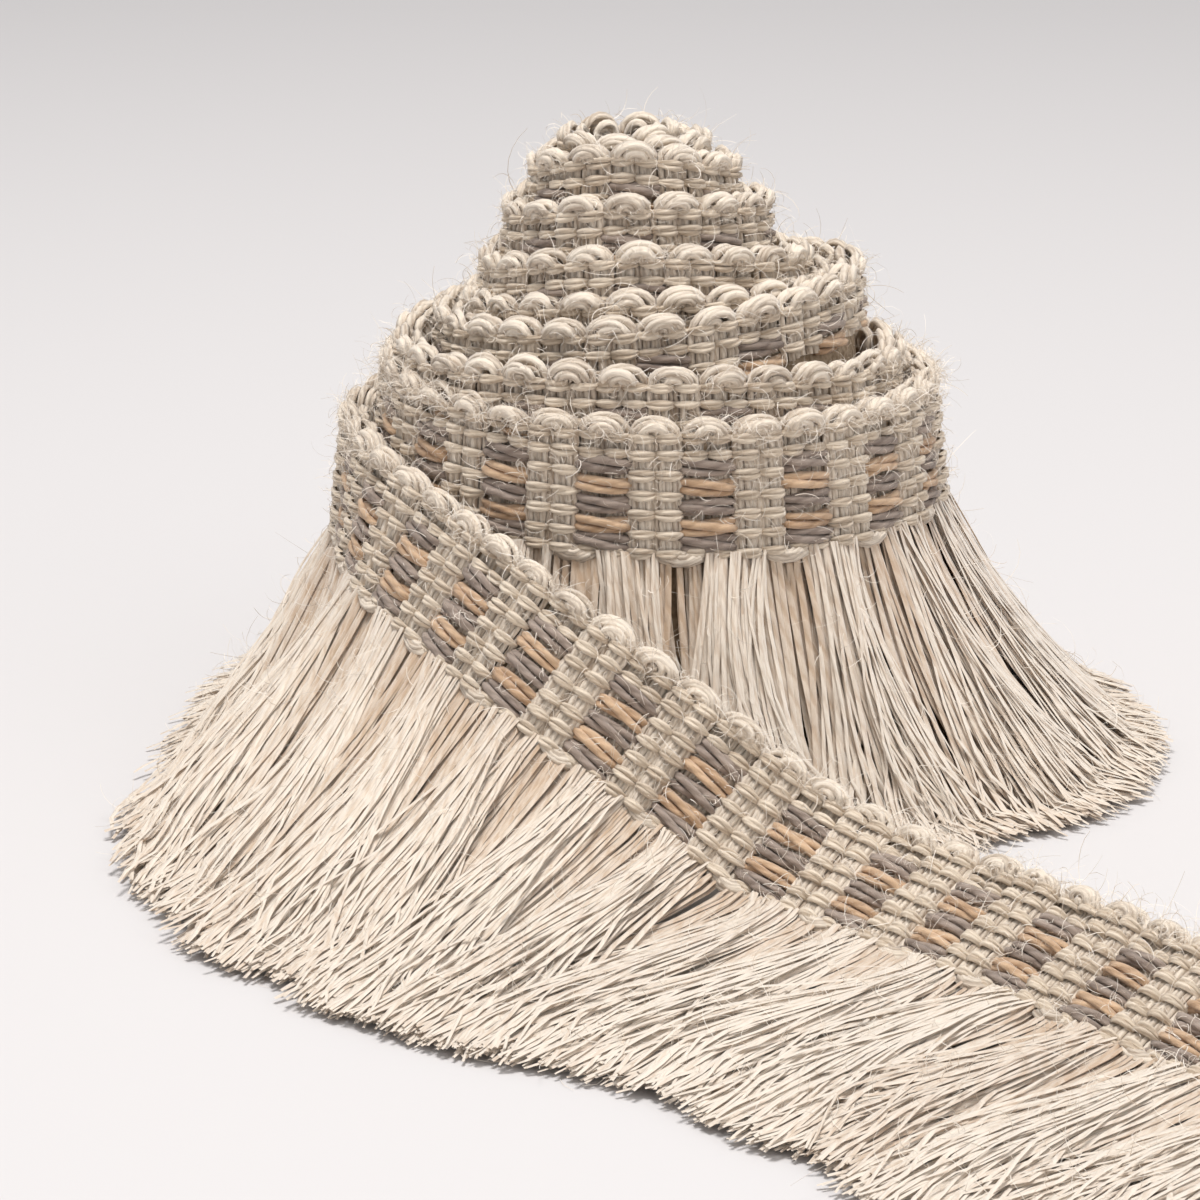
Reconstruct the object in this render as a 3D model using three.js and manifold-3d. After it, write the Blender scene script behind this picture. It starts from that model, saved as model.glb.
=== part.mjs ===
// A woven fringe trim, wound up and pushed out into a cone that stands on its own splayed fringe.
// Its loose end comes round the front of the roll and runs out over the floor.
// Millimetres, +Z up. The roll's axis stands on the floor at the origin, and -Y is the front.

import * as THREE from 'three';
import Module from 'manifold-3d';
import { mergeVertices } from 'three/addons/utils/BufferGeometryUtils.js';

const wasm = await Module();
wasm.setup();

// The trim as it is woven
const HEADING_HEIGHT = 26.5;
const HEADING_THICKNESS = 4.2;
const REPEAT = 20; // one ribbed block and one block of coloured floats
const LOOP = REPEAT / 2; // the top edge has two loops to a repeat
const LOOP_RISE = 2.4; // how far a loop stands above the notch beside it
const BLOCK_RELIEF = 0.45; // ribs stand out by this, and the floats lie back by as much
const FRINGE_LENGTH = 75;
const PARTING = 0.3; // gap between neighbouring pieces

// The winding, one row a turn from the inside out. The radius is the outer face's at the top edge,
// at the front of the turn, and shiftX is how far the turn's centre stands off the axis.
// The heights are of the top edge at the front, right, back and left of the turn.
const TURNS = [
  { radius: 8, shiftX: -5.5, front: 128, right: 128, back: 127.5, left: 127 },
  { radius: 14, shiftX: -5.5, front: 127, right: 126, back: 124.5, left: 122 },
  { radius: 19.8, shiftX: -5.5, front: 127, right: 121.5, back: 118, left: 113 },
  { radius: 25.4, shiftX: -5, front: 118, right: 114.5, back: 109, left: 102.5 },
  { radius: 31.7, shiftX: -3, front: 109.5, right: 103.5, back: 99, left: 95 },
  { radius: 35.9, shiftX: -2.2, front: 101.4, right: 99, back: 95, left: 92 },
  { radius: 41.7, shiftX: -2.9, front: 97.6, right: 101.5, back: 93, left: 87 },
  { radius: 49.9, shiftX: -2.6, front: 89.6, right: 84.5, back: 83, left: 83 },
  { radius: 54, shiftX: -0.5, front: 80.7, right: 79, back: 75, left: 70 },
  { radius: 64, shiftX: -0.5, front: 66, right: 66, back: 66, left: 66 },
];
const REFERENCE_TURN = 8; // a ribbed block stands at this turn's front
const SECTIONS_PER_TURN = 84;
const LAST_TURN_END = 8.75; // turns from the first front to the left side, where the end leaves
const JOIN_REPEATS = 13.1; // of the pattern, from the reference turn's front to where the end leaves
const JOIN_EASE = 0.35; // of a turn, over which the weave is eased to come out so
const ROLL_SPLAY = 3; // the heading's foot stands out from its top edge by this
const LOOP_ROUNDNESS = 0.6; // below 1, for crests that are broad and notches that are narrow
const CREST_WIDTH = 3.4; // of the loops' rounded tops, across the heading
const CREST_FALL = 0.8; // from the inner side of a loop's top to the outer
const SUMMIT_DROP = 4; // the hollow in the middle of the top, below the first turn's loops
const GUTTER_DEPTH = 5.5; // between two turns, below the lower one's top
const GUTTER_OFFSET = 0.7;
const SHOULDER = 0.25; // the share of the heading's height above its ribbed blocks

// How the last turn's fringe spreads, by the degrees round from its start at the left. tip is the radius
// that its cut ends reach on the floor, foot is that of the fringe packed inside it, sweep is how far the
// cut ends are carried round, in degrees, and flare is how far the fringe leans out at its root.
const SPREAD = [
  { degrees: -180, tip: 94, foot: 64, sweep: 12, flare: 0.05 },
  { degrees: -135, tip: 92, foot: 63, sweep: 9, flare: 0.2 },
  { degrees: -90, tip: 87, foot: 60, sweep: 3, flare: 0.35 },
  { degrees: -60, tip: 88, foot: 60, sweep: 0, flare: 0.4 },
  { degrees: -38, tip: 98, foot: 64, sweep: 0, flare: 0.45 },
  { degrees: -28, tip: 104, foot: 69, sweep: 0, flare: 0.5 },
  { degrees: -6, tip: 105, foot: 73, sweep: 0, flare: 0.5 },
  { degrees: 40, tip: 99, foot: 73, sweep: 2, flare: 0.5 },
  { degrees: 100, tip: 102, foot: 74, sweep: 6, flare: 0.5 },
  { degrees: 140, tip: 99, foot: 76, sweep: 13, flare: 0.5 },
  { degrees: 160, tip: 96, foot: 77, sweep: 17.5, flare: 0.5 },
  { degrees: 180, tip: 104, foot: 78, sweep: 22, flare: 0.5 },
];

// The loose end, a row a station from the roll outwards. x, y and z are the middle of its outer face,
// lean is how far it leans back from upright and fringe is where its cut ends point, both in degrees,
// and length is the fringe's.
const LOOSE_END = [
  { x: -63.4, y: -1.5, z: 56.8, lean: 6.5, fringe: 231, length: 75 },
  { x: -57.5, y: -28, z: 55.8, lean: 15, fringe: 233, length: 79 },
  { x: -48, y: -45, z: 52.7, lean: 26, fringe: 235, length: 84 },
  { x: -25.5, y: -73, z: 43, lean: 33, fringe: 236, length: 81 },
  { x: 5, y: -88, z: 24.6, lean: 33, fringe: 236, length: 85 },
  { x: 20.5, y: -96, z: 14.6, lean: 44, fringe: 231, length: 86 },
  { x: 35, y: -107.5, z: 10.9, lean: 58, fringe: 227, length: 81 },
  { x: 59.5, y: -135.5, z: 11, lean: 61, fringe: 223, length: 71 },
  { x: 83, y: -165.5, z: 11, lean: 61, fringe: 222, length: 70 },
  { x: 107, y: -196, z: 11, lean: 61, fringe: 222, length: 70 },
  { x: 131, y: -226.5, z: 11, lean: 61, fringe: 222, length: 70 },
];
const SECTIONS_PER_REPEAT = 6;

// The fringe's strands, three-sided
const STRANDS_PER_REPEAT = 6;
const STRAND_WIDTH = 2.4;
const STRAND_DEPTH = 2.2;
const ROLL_TIP_SHARE = 1.5; // of a strand's width, at its cut end
const LOOSE_TIP_SHARE = 0.95;
const ROLL_FALL_STEPS = 3; // straight stretches from a strand's root to the floor
const LOOSE_FALL_STEPS = 2;
const LOCK_DRAW = 0.14; // how far a lock's strands draw together below the heading
const STRIP_HEIGHT = 2.4;
const STRIP_THICKNESS = 2.4;
const STRIP_SECTIONS_PER_REPEAT = 3;
const ROLL_CLEAR = 0.004; // of a turn, left free at each end of the roll's strip
const LOOSE_CLEAR = 0.05; // of a repeat, left free at each end of the loose end's strip
const ROOT_INSET = 0.35; // share of the strip's thickness inside the strands' roots
const ROLL_ROOT_SINK = 0.8; // how high in its strip a root stands
const LOOSE_ROOT_SINK = 0.9;
const SLACK = 1.5; // what the curve of a strand takes off its reach
const RAGGED = 2.5; // how unevenly the ends are cut

// How a strand falls: it leaves along its pull, slides out low over the floor and comes to rest level.
const PULL_SHARE = 0.35; // of the root's height
const PULL_LENGTH = 4;
const PULL_DOWN = 0.9;
const SLIDE_SHARE = 0.78; // of the way from the root to where the strand lands
const SLIDE_RISE = 0.1; // of the root's height
const MIN_REST = 8; // the least length of a strand that lies level on the floor
const REST_SHARE = 0.16; // of the strand's span
const SPARE_SHARE = 0.3; // of the length that the straight way down doesn't need

const cream = new THREE.MeshStandardMaterial({ color: 0xdccfba, roughness: 0.95, metalness: 0 });
const warmCream = new THREE.MeshStandardMaterial({ color: 0xe0d0b6, roughness: 0.95, metalness: 0 });

const radians = THREE.MathUtils.degToRad;
const { lerp, clamp } = THREE.MathUtils;

// A repeatable value from -1 to 1 for a whole number and a stream.
function wobble(index, stream) {
  const value = Math.sin(index * 12.9898 + stream * 78.233) * 43758.5453;
  return 2 * (value - Math.floor(value)) - 1;
}

// A smooth curve through evenly spaced values.
function smoothAt(values, place) {
  const last = values.length - 1;
  const i = clamp(Math.floor(place), 0, last - 1);
  const u = place - i;
  const [a, b, c, d] = [i - 1, i, i + 1, i + 2].map((k) => values[clamp(k, 0, last)]);
  return b + 0.5 * u * (c - a + u * (2 * a - 5 * b + 4 * c - d + u * (3 * (b - c) + d - a)));
}

// A straight-line reading of one column of the spread table.
function spreadAt(degrees, column) {
  const next = SPREAD.findIndex((row) => row.degrees >= degrees);
  if (next < 0) return SPREAD[SPREAD.length - 1][column];
  if (next === 0) return SPREAD[0][column];
  const [before, after] = [SPREAD[next - 1], SPREAD[next]];
  const share = (degrees - before.degrees) / (after.degrees - before.degrees);
  return lerp(before[column], after[column], share);
}

// The loops of the top edge, and the ribs and floats of the face, at a length along the trim.
function loopDrop(along) {
  const crest = Math.abs(Math.cos((Math.PI * along) / LOOP)) ** LOOP_ROUNDNESS;
  return LOOP_RISE * (1 - crest);
}
const blockRelief = (along) => BLOCK_RELIEF * Math.cos((2 * Math.PI * along) / REPEAT);

// A closed solid under way: points, and triangles that name them by number.
class Shell {
  points = [];

  triangles = [];

  add(point) {
    this.points.push(point);
    return this.points.length - 1;
  }

  fill(...corners) {
    for (let k = 1; k + 1 < corners.length; k += 1) {
      this.triangles.push([corners[0], corners[k], corners[k + 1]]);
    }
  }

  // Joins two rows of points, from the first row towards the second.
  bridge(rowA, rowB) {
    for (let k = 0; k + 1 < rowA.length; k += 1) {
      this.fill(rowA[k], rowA[k + 1], rowB[k + 1], rowB[k]);
    }
  }

  // Fills a flat outline that need not be convex, given its corners in the plane, in the outline's sense.
  fillOutline(corners, flat) {
    const sense = Math.sign(THREE.ShapeUtils.area(flat));
    THREE.ShapeUtils.triangulateShape(flat, []).forEach((triangle) => {
      const isFlipped = Math.sign(THREE.ShapeUtils.area(triangle.map((k) => flat[k]))) !== sense;
      const ordered = isFlipped ? [...triangle].reverse() : triangle;
      this.triangles.push(ordered.map((k) => corners[k]));
    });
  }

  // Positive where the faces point out.
  signedVolume() {
    const corners = this.triangles.map((triangle) => triangle.map((k) => this.points[k]));
    return corners.reduce((sum, [a, b, c]) => sum + a.dot(b.clone().cross(c)) / 6, 0);
  }

  geometry() {
    const isInsideOut = this.signedVolume() < 0;
    const triangles = isInsideOut ? this.triangles.map(([a, b, c]) => [a, c, b]) : this.triangles;
    const geometry = new THREE.BufferGeometry().setFromPoints(this.points);
    geometry.setIndex(triangles.flat());
    return geometry;
  }
}

const turnRadii = TURNS.map((turn) => turn.radius);
const turnShifts = TURNS.map((turn) => turn.shiftX);
const turnTops = TURNS.flatMap((turn) => [turn.front, turn.right, turn.back, turn.left]);

// The length of trim wound up by each section of the roll, from its inner end.
const woundLengths = [0];
for (let i = 0; i < LAST_TURN_END * SECTIONS_PER_TURN; i += 1) {
  const radius = smoothAt(turnRadii, (i + 0.5) / SECTIONS_PER_TURN);
  woundLengths.push(woundLengths[i] + (2 * Math.PI * radius) / SECTIONS_PER_TURN);
}
const woundLengthAt = (turns) => smoothAt(woundLengths, turns * SECTIONS_PER_TURN);

// The place in the weave's pattern, counted from the reference turn's front.
function patternAt(turns) {
  const plain = (at) => woundLengthAt(at) - woundLengthAt(REFERENCE_TURN);
  const ease = clamp((turns - LAST_TURN_END) / JOIN_EASE + 1, 0, 1);
  return plain(turns) + ease * (JOIN_REPEATS * REPEAT - plain(LAST_TURN_END));
}

// The winding at so many turns from the first front.
function windingAt(turns) {
  const along = patternAt(Math.min(turns, LAST_TURN_END));
  return {
    angle: radians(360 * turns - 90),
    radius: smoothAt(turnRadii, turns),
    shiftX: smoothAt(turnShifts, turns),
    top: smoothAt(turnTops, 4 * turns),
    drop: loopDrop(along),
    relief: blockRelief(along),
  };
}

// A point of the roll at a radius from its turn's own centre.
function rollPoint(at, radius, z) {
  return new THREE.Vector3(at.shiftX + radius * Math.cos(at.angle), radius * Math.sin(at.angle), z);
}

// Degrees round the last turn, from -180 where it starts to 180 where it ends.
const lastTurnDegrees = (turns) => 360 * (turns - LAST_TURN_END + 0.5);

// The face of the last turn from its top edge to the floor, outermost parts of the heading included.
function lastTurnWall(at, turns, isStart) {
  const relief = isStart ? -2 * BLOCK_RELIEF : at.relief;
  const bottom = at.top - HEADING_HEIGHT;
  const foot = spreadAt(lastTurnDegrees(turns), 'foot');
  const inside = at.radius + ROLL_SPLAY - HEADING_THICKNESS;
  return [
    rollPoint(at, at.radius + ROLL_SPLAY * SHOULDER + relief, at.top - HEADING_HEIGHT * SHOULDER),
    rollPoint(at, at.radius + ROLL_SPLAY + relief, bottom),
    rollPoint(at, inside, bottom),
    rollPoint(at, foot, 0),
  ];
}

// The gutter between a turn and the next one out.
function gutterPoint(at, next) {
  const z = Math.min(next.top, at.top) - GUTTER_DEPTH;
  const slope = (ROLL_SPLAY * (at.top - z)) / HEADING_HEIGHT;
  const limit = next.radius - CREST_WIDTH - PARTING;
  return rollPoint(at, Math.min(at.radius + GUTTER_OFFSET + slope, limit), z);
}

// The roll: a spiral of stepped turns, and inside the last one the packed fringe of all the others,
// which spreads to the floor.
function rollGeometry() {
  const shell = new Shell();
  const count = Math.round(LAST_TURN_END * SECTIONS_PER_TURN);
  const start = count - SECTIONS_PER_TURN;
  const summit = shell.add(new THREE.Vector3(TURNS[0].shiftX, 0, TURNS[0].front - SUMMIT_DROP));
  const floorMiddle = shell.add(new THREE.Vector3(0, 0, 0));
  const crests = [];
  const gutters = [];
  const walls = [];
  for (let i = 0; i <= count; i += 1) {
    const turns = i / SECTIONS_PER_TURN;
    const at = windingAt(turns);
    const inner = shell.add(rollPoint(at, at.radius - CREST_WIDTH, at.top - at.drop));
    const outer = shell.add(rollPoint(at, at.radius, at.top - at.drop - CREST_FALL));
    crests.push([inner, outer]);
    if (i <= start) gutters.push(shell.add(gutterPoint(at, windingAt(turns + 1))));
    if (i >= start) walls[i] = lastTurnWall(at, turns, i === start).map((point) => shell.add(point));
  }
  for (let i = 0; i < count; i += 1) {
    const inside = gutters[i - SECTIONS_PER_TURN] ?? summit;
    const insideNext = gutters[i + 1 - SECTIONS_PER_TURN] ?? summit;
    shell.fill(inside, crests[i][0], crests[i + 1][0]);
    if (inside !== insideNext) shell.fill(inside, crests[i + 1][0], insideNext);
    shell.bridge(crests[i], crests[i + 1]);
    if (i < start) {
      shell.bridge([crests[i][1], gutters[i]], [crests[i + 1][1], gutters[i + 1]]);
    } else {
      shell.bridge([crests[i][1], ...walls[i]], [crests[i + 1][1], ...walls[i + 1]]);
    }
  }
  fillFloor(shell, walls, start, count, floorMiddle);
  shell.fill(summit, gutters[0], crests[0][1], crests[0][0]);
  const inner = [crests[start][1], gutters[start]];
  const face = [...inner, ...crests[count], ...walls[count], ...walls[start].reverse()];
  shell.fillOutline(face, face.map((k) => new THREE.Vector2(-shell.points[k].x, shell.points[k].z)));
  return shell.geometry();
}

// The roll's flat underside.
function fillFloor(shell, walls, start, count, middle) {
  const foot = (i) => walls[i][3];
  for (let i = start; i < count - 1; i += 1) shell.fill(middle, foot(i + 1), foot(i));
  shell.fill(middle, foot(start), foot(count - 1));
  shell.fill(foot(start), foot(count), foot(count - 1));
}

const loosePath = new THREE.CatmullRomCurve3(LOOSE_END.map(({ x, y, z }) => new THREE.Vector3(x, y, z)));
loosePath.arcLengthDivisions = 2000;
const looseRepeats = Math.floor((2 * loosePath.getLength()) / REPEAT) / 2;
const looseLeans = LOOSE_END.map((row) => row.lean);
const looseFringes = LOOSE_END.map((row) => row.fringe);
const looseLengths = LOOSE_END.map((row) => row.length);

// The loose end at so many repeats from the roll: its place, and the directions along it, up the heading
// and out of its face.
function looseAt(repeats) {
  const t = loosePath.getUtoTmapping(repeats / looseRepeats);
  const place = t * (LOOSE_END.length - 1);
  const lean = radians(smoothAt(looseLeans, place));
  const along = loosePath.getTangent(t);
  const upright = new THREE.Vector3(0, 0, 1).addScaledVector(along, -along.z).normalize();
  const outward = new THREE.Vector3().crossVectors(along, upright);
  const up = upright.clone().multiplyScalar(Math.cos(lean)).addScaledVector(outward, -Math.sin(lean));
  const out = new THREE.Vector3().crossVectors(along, up);
  const pattern = (JOIN_REPEATS + repeats) * REPEAT;
  return {
    middle: loosePath.getPoint(t),
    up,
    out,
    fringe: radians(smoothAt(looseFringes, place)),
    length: smoothAt(looseLengths, place),
    drop: loopDrop(pattern),
    relief: blockRelief(pattern),
  };
}

function loosePoint(at, out, up) {
  return at.middle.clone().addScaledVector(at.out, out).addScaledVector(at.up, up);
}

// A band with one closed section for each step, its ends filled.
function bandGeometry(sections) {
  const shell = new Shell();
  const rows = sections.map((section) => section.map((point) => shell.add(point)));
  const size = rows[0].length;
  for (let i = 0; i + 1 < rows.length; i += 1) {
    shell.bridge([...rows[i], rows[i][0]], [...rows[i + 1], rows[i + 1][0]]);
  }
  for (let k = 1; k + 1 < size; k += 1) {
    shell.fill(rows[0][0], rows[0][k + 1], rows[0][k]);
    const last = rows[rows.length - 1];
    shell.fill(last[0], last[k], last[k + 1]);
  }
  return shell.geometry();
}

// The heading of the loose end, its loops along the top and its blocks raised on the face.
function looseHeadingGeometry() {
  const half = HEADING_HEIGHT / 2;
  const steps = Math.round(looseRepeats * SECTIONS_PER_REPEAT);
  const first = PARTING / REPEAT;
  const sections = [];
  for (let i = 0; i <= steps; i += 1) {
    const at = looseAt(Math.max(first, i / SECTIONS_PER_REPEAT));
    const crest = half - at.drop;
    sections.push([
      loosePoint(at, -HEADING_THICKNESS, -half),
      loosePoint(at, -HEADING_THICKNESS, crest - CREST_FALL),
      loosePoint(at, -HEADING_THICKNESS / 2, crest),
      loosePoint(at, 0, crest - CREST_FALL),
      loosePoint(at, at.relief, half - 2 * half * SHOULDER),
      loosePoint(at, at.relief, -half),
    ]);
  }
  return bandGeometry(sections.map(aboveFloor));
}

const aboveFloor = (section) => section.map((point) => point.clone().setZ(Math.max(point.z, 0)));

// A strand: a three-sided length along a path of its underside's middle, which ends level.
function strandGeometry(path, side, tipShare) {
  const last = path.length - 1;
  const sections = path.map((point, i) => {
    const heading = path[Math.min(i + 1, last)].clone().sub(path[Math.max(i - 1, 0)]);
    const isLevel = i >= last - 1;
    const normal = isLevel ? new THREE.Vector3(0, 0, 1) : heading.cross(side).normalize();
    if (normal.z < 0) normal.negate();
    const halfWidth = side.clone().multiplyScalar((STRAND_WIDTH * lerp(1, tipShare, i / last)) / 2);
    return [
      point.clone().sub(halfWidth),
      point.clone().add(halfWidth),
      point.clone().addScaledVector(normal, STRAND_DEPTH),
    ];
  });
  return bandGeometry(sections.map(aboveFloor));
}

// The path of a strand from its root down to the floor, where its last stretch lies level.
// pull is the direction in which it leaves the heading.
function strandPath(root, tip, pull, steps) {
  const span = new THREE.Vector3(tip.x - root.x, tip.y - root.y, 0);
  const spare = FRINGE_LENGTH - Math.hypot(span.length(), root.z);
  const rest = Math.max(MIN_REST, span.length() * REST_SHARE + spare * SPARE_SHARE);
  const landing = tip.clone().addScaledVector(span.clone().normalize(), -rest);
  const drop = root.clone().addScaledVector(pull, root.z * PULL_SHARE + PULL_LENGTH);
  const slide = root.clone().lerp(landing, SLIDE_SHARE);
  slide.z = root.z * SLIDE_RISE;
  const fall = new THREE.CubicBezierCurve3(root, drop, slide, landing);
  return [...fall.getPoints(steps), tip];
}

// Where a strand stands in the row, in repeats, its lock drawn together below the heading.
function strandPlace(index) {
  const lock = Math.floor(index / STRANDS_PER_REPEAT);
  const place = ((index % STRANDS_PER_REPEAT) + 0.5) / STRANDS_PER_REPEAT;
  return { root: lock + place, tip: lock + lerp(place, 0.5, LOCK_DRAW) };
}

// Turns a plain geometry into a solid that can be joined to others.
function toSolid(geometry) {
  const bare = geometry.clone();
  bare.deleteAttribute('normal');
  bare.deleteAttribute('uv');
  const merged = mergeVertices(bare, 1e-4);
  return new wasm.Manifold(
    new wasm.Mesh({
      numProp: 3,
      vertProperties: new Float32Array(merged.attributes.position.array),
      triVerts: new Uint32Array(merged.index.array),
    }),
  );
}

// Joins a strip and its strands, whose roots are sunk in it.
function fringeGeometry(strip, strands) {
  let solid = toSolid(strip);
  strands.forEach((strand) => {
    solid = solid.add(toSolid(strand));
  });
  const mesh = solid.getMesh();
  const geometry = new THREE.BufferGeometry();
  geometry.setAttribute('position', new THREE.BufferAttribute(new Float32Array(mesh.vertProperties), 3));
  geometry.setIndex(new THREE.BufferAttribute(new Uint32Array(mesh.triVerts), 1));
  return geometry;
}

// The strip that holds the fringe under the last turn's heading: its radii and heights. Its foot stands
// out as the packed fringe inside it does.
function hemAt(turns) {
  const at = windingAt(turns);
  const wall = at.radius + ROLL_SPLAY - HEADING_THICKNESS;
  const slope = (spreadAt(lastTurnDegrees(turns), 'foot') - wall) / (at.top - HEADING_HEIGHT);
  const inner = wall + 2 * PARTING;
  const upper = at.top - HEADING_HEIGHT - PARTING;
  const shift = slope * (STRIP_HEIGHT + PARTING);
  return { at, inner, outer: inner + STRIP_THICKNESS, upper, lower: upper - STRIP_HEIGHT, shift };
}

function rollStripGeometry(repeats) {
  const start = LAST_TURN_END - 1 + ROLL_CLEAR;
  const steps = repeats * STRIP_SECTIONS_PER_REPEAT;
  const sections = [];
  for (let i = 0; i <= steps; i += 1) {
    const hem = hemAt(lerp(start, LAST_TURN_END - ROLL_CLEAR, i / steps));
    sections.push([
      rollPoint(hem.at, hem.inner + hem.shift, hem.lower),
      rollPoint(hem.at, hem.inner, hem.upper),
      rollPoint(hem.at, hem.outer, hem.upper),
      rollPoint(hem.at, hem.outer + hem.shift, hem.lower),
    ]);
  }
  return bandGeometry(sections);
}

function rollStrandGeometry(index, repeats) {
  const place = strandPlace(index);
  const share = lerp(2 * ROLL_CLEAR, 1 - 2 * ROLL_CLEAR, place.root / repeats);
  const hem = hemAt(LAST_TURN_END - 1 + share);
  const rootRadius = lerp(hem.inner, hem.outer, ROOT_INSET) + hem.shift;
  const root = rollPoint(hem.at, rootRadius, hem.lower + ROLL_ROOT_SINK);
  const degrees = 360 * (place.tip / repeats) - 180;
  const azimuth = radians(degrees + spreadAt(degrees, 'sweep'));
  const reach = spreadAt(degrees, 'tip') + RAGGED * wobble(index, 1);
  const tip = new THREE.Vector3(reach * Math.cos(azimuth), reach * Math.sin(azimuth), 0);
  const flare = spreadAt(degrees, 'flare');
  const pull = new THREE.Vector3(flare * Math.cos(hem.at.angle), flare * Math.sin(hem.at.angle), -PULL_DOWN);
  const side = new THREE.Vector3(Math.sin(azimuth), -Math.cos(azimuth), 0);
  return strandGeometry(strandPath(root, tip, pull, ROLL_FALL_STEPS), side, ROLL_TIP_SHARE);
}

function rollFringeGeometry() {
  const middleRadius = smoothAt(turnRadii, LAST_TURN_END - 0.5);
  const repeats = Math.floor((2 * Math.PI * middleRadius) / REPEAT);
  const strands = [];
  for (let k = 0; k < repeats * STRANDS_PER_REPEAT; k += 1) strands.push(rollStrandGeometry(k, repeats));
  return fringeGeometry(rollStripGeometry(repeats), strands);
}

// The loose end's strip lies in the middle of the heading's thickness, just below it.
const LOOSE_STRIP_UPPER = -HEADING_HEIGHT / 2 - PARTING;
const LOOSE_STRIP_LOWER = LOOSE_STRIP_UPPER - STRIP_HEIGHT;
const LOOSE_STRIP_BACK = -(HEADING_THICKNESS + STRIP_THICKNESS) / 2;
const LOOSE_STRIP_FACE = LOOSE_STRIP_BACK + STRIP_THICKNESS;

function looseStripGeometry(repeats) {
  const steps = repeats * STRIP_SECTIONS_PER_REPEAT;
  const sections = [];
  for (let i = 0; i <= steps; i += 1) {
    const at = looseAt(lerp(LOOSE_CLEAR, looseRepeats - LOOSE_CLEAR, i / steps));
    sections.push([
      loosePoint(at, LOOSE_STRIP_BACK, LOOSE_STRIP_LOWER),
      loosePoint(at, LOOSE_STRIP_BACK, LOOSE_STRIP_UPPER),
      loosePoint(at, LOOSE_STRIP_FACE, LOOSE_STRIP_UPPER),
      loosePoint(at, LOOSE_STRIP_FACE, LOOSE_STRIP_LOWER),
    ]);
  }
  return bandGeometry(sections.map(aboveFloor));
}

function looseStrandGeometry(index, repeats) {
  const place = strandPlace(index);
  const placeAt = (share) => looseAt(lerp(3 * LOOSE_CLEAR, looseRepeats - 3 * LOOSE_CLEAR, share / repeats));
  const at = placeAt(place.root);
  const drawn = placeAt(place.tip);
  const rootDepth = lerp(LOOSE_STRIP_BACK, LOOSE_STRIP_FACE, ROOT_INSET);
  const root = loosePoint(at, rootDepth, LOOSE_STRIP_LOWER + LOOSE_ROOT_SINK);
  const reach = Math.sqrt(at.length ** 2 - root.z ** 2) - SLACK + RAGGED * wobble(index, 2);
  const shift = drawn.middle.clone().sub(at.middle);
  const tip = new THREE.Vector3(root.x + shift.x, root.y + shift.y, 0);
  tip.x += reach * Math.cos(at.fringe);
  tip.y += reach * Math.sin(at.fringe);
  const side = new THREE.Vector3(Math.sin(at.fringe), -Math.cos(at.fringe), 0);
  const path = strandPath(root, tip, at.up.clone().negate(), LOOSE_FALL_STEPS);
  return strandGeometry(path, side, LOOSE_TIP_SHARE);
}

function looseFringeGeometry() {
  const repeats = Math.floor(looseRepeats);
  const strands = [];
  for (let k = 0; k < repeats * STRANDS_PER_REPEAT; k += 1) strands.push(looseStrandGeometry(k, repeats));
  return fringeGeometry(looseStripGeometry(repeats), strands);
}

function piece(name, geometry, material) {
  const mesh = new THREE.Mesh(geometry, material);
  mesh.name = name;
  return mesh;
}

const trim = new THREE.Group();
trim.add(piece('wound_heading', rollGeometry(), cream));
trim.add(piece('loose_heading', looseHeadingGeometry(), cream));
trim.add(piece('roll_fringe', rollFringeGeometry(), warmCream));
trim.add(piece('loose_fringe', looseFringeGeometry(), warmCream));

export default trim;
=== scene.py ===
import math

import bpy
import numpy as np
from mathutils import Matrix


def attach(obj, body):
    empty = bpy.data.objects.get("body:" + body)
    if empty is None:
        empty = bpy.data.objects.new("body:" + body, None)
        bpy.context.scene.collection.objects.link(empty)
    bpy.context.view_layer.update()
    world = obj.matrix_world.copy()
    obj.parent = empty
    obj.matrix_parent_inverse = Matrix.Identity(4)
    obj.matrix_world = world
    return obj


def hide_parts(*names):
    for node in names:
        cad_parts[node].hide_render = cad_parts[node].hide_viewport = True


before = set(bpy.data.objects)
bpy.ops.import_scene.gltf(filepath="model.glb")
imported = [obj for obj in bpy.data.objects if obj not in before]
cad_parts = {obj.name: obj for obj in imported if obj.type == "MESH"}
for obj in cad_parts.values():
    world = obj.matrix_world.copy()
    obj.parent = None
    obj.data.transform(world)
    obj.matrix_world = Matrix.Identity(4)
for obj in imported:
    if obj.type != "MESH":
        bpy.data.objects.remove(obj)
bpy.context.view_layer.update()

# A woven fringe trim wound up into a cone that stands on its own splayed fringe, with a loose end that
# comes round the front and runs out over the floor. All lengths are in millimetres until a mesh is made.
MM = 0.001
RNG = np.random.default_rng(41)
RNG_LOOPS = np.random.default_rng(7)
RNG_LOCKS = np.random.default_rng(23)

HEADING_HEIGHT = 26.5
REPEAT = 20.0
PICK = REPEAT / 4
FRINGE_LENGTH = 75.0
ROLL_SPLAY = 3.0
REFERENCE_TURN = 8
LAST_TURN_END = 8.75
JOIN_PATTERN = 262.0  # where the loose end leaves, in the pattern's millimetres from the reference turn
JOIN_EASE = 0.35  # turns over which the pattern is eased to meet it
ROLL_SAMPLES = 6000
LOOSE_SAMPLES = 3000
PAST_JOIN = 0.001  # the loose end's first row stands this far past the roll's last
LOOSE_TURN = 1000.0  # length of the loose end that is counted as a turn

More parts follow.
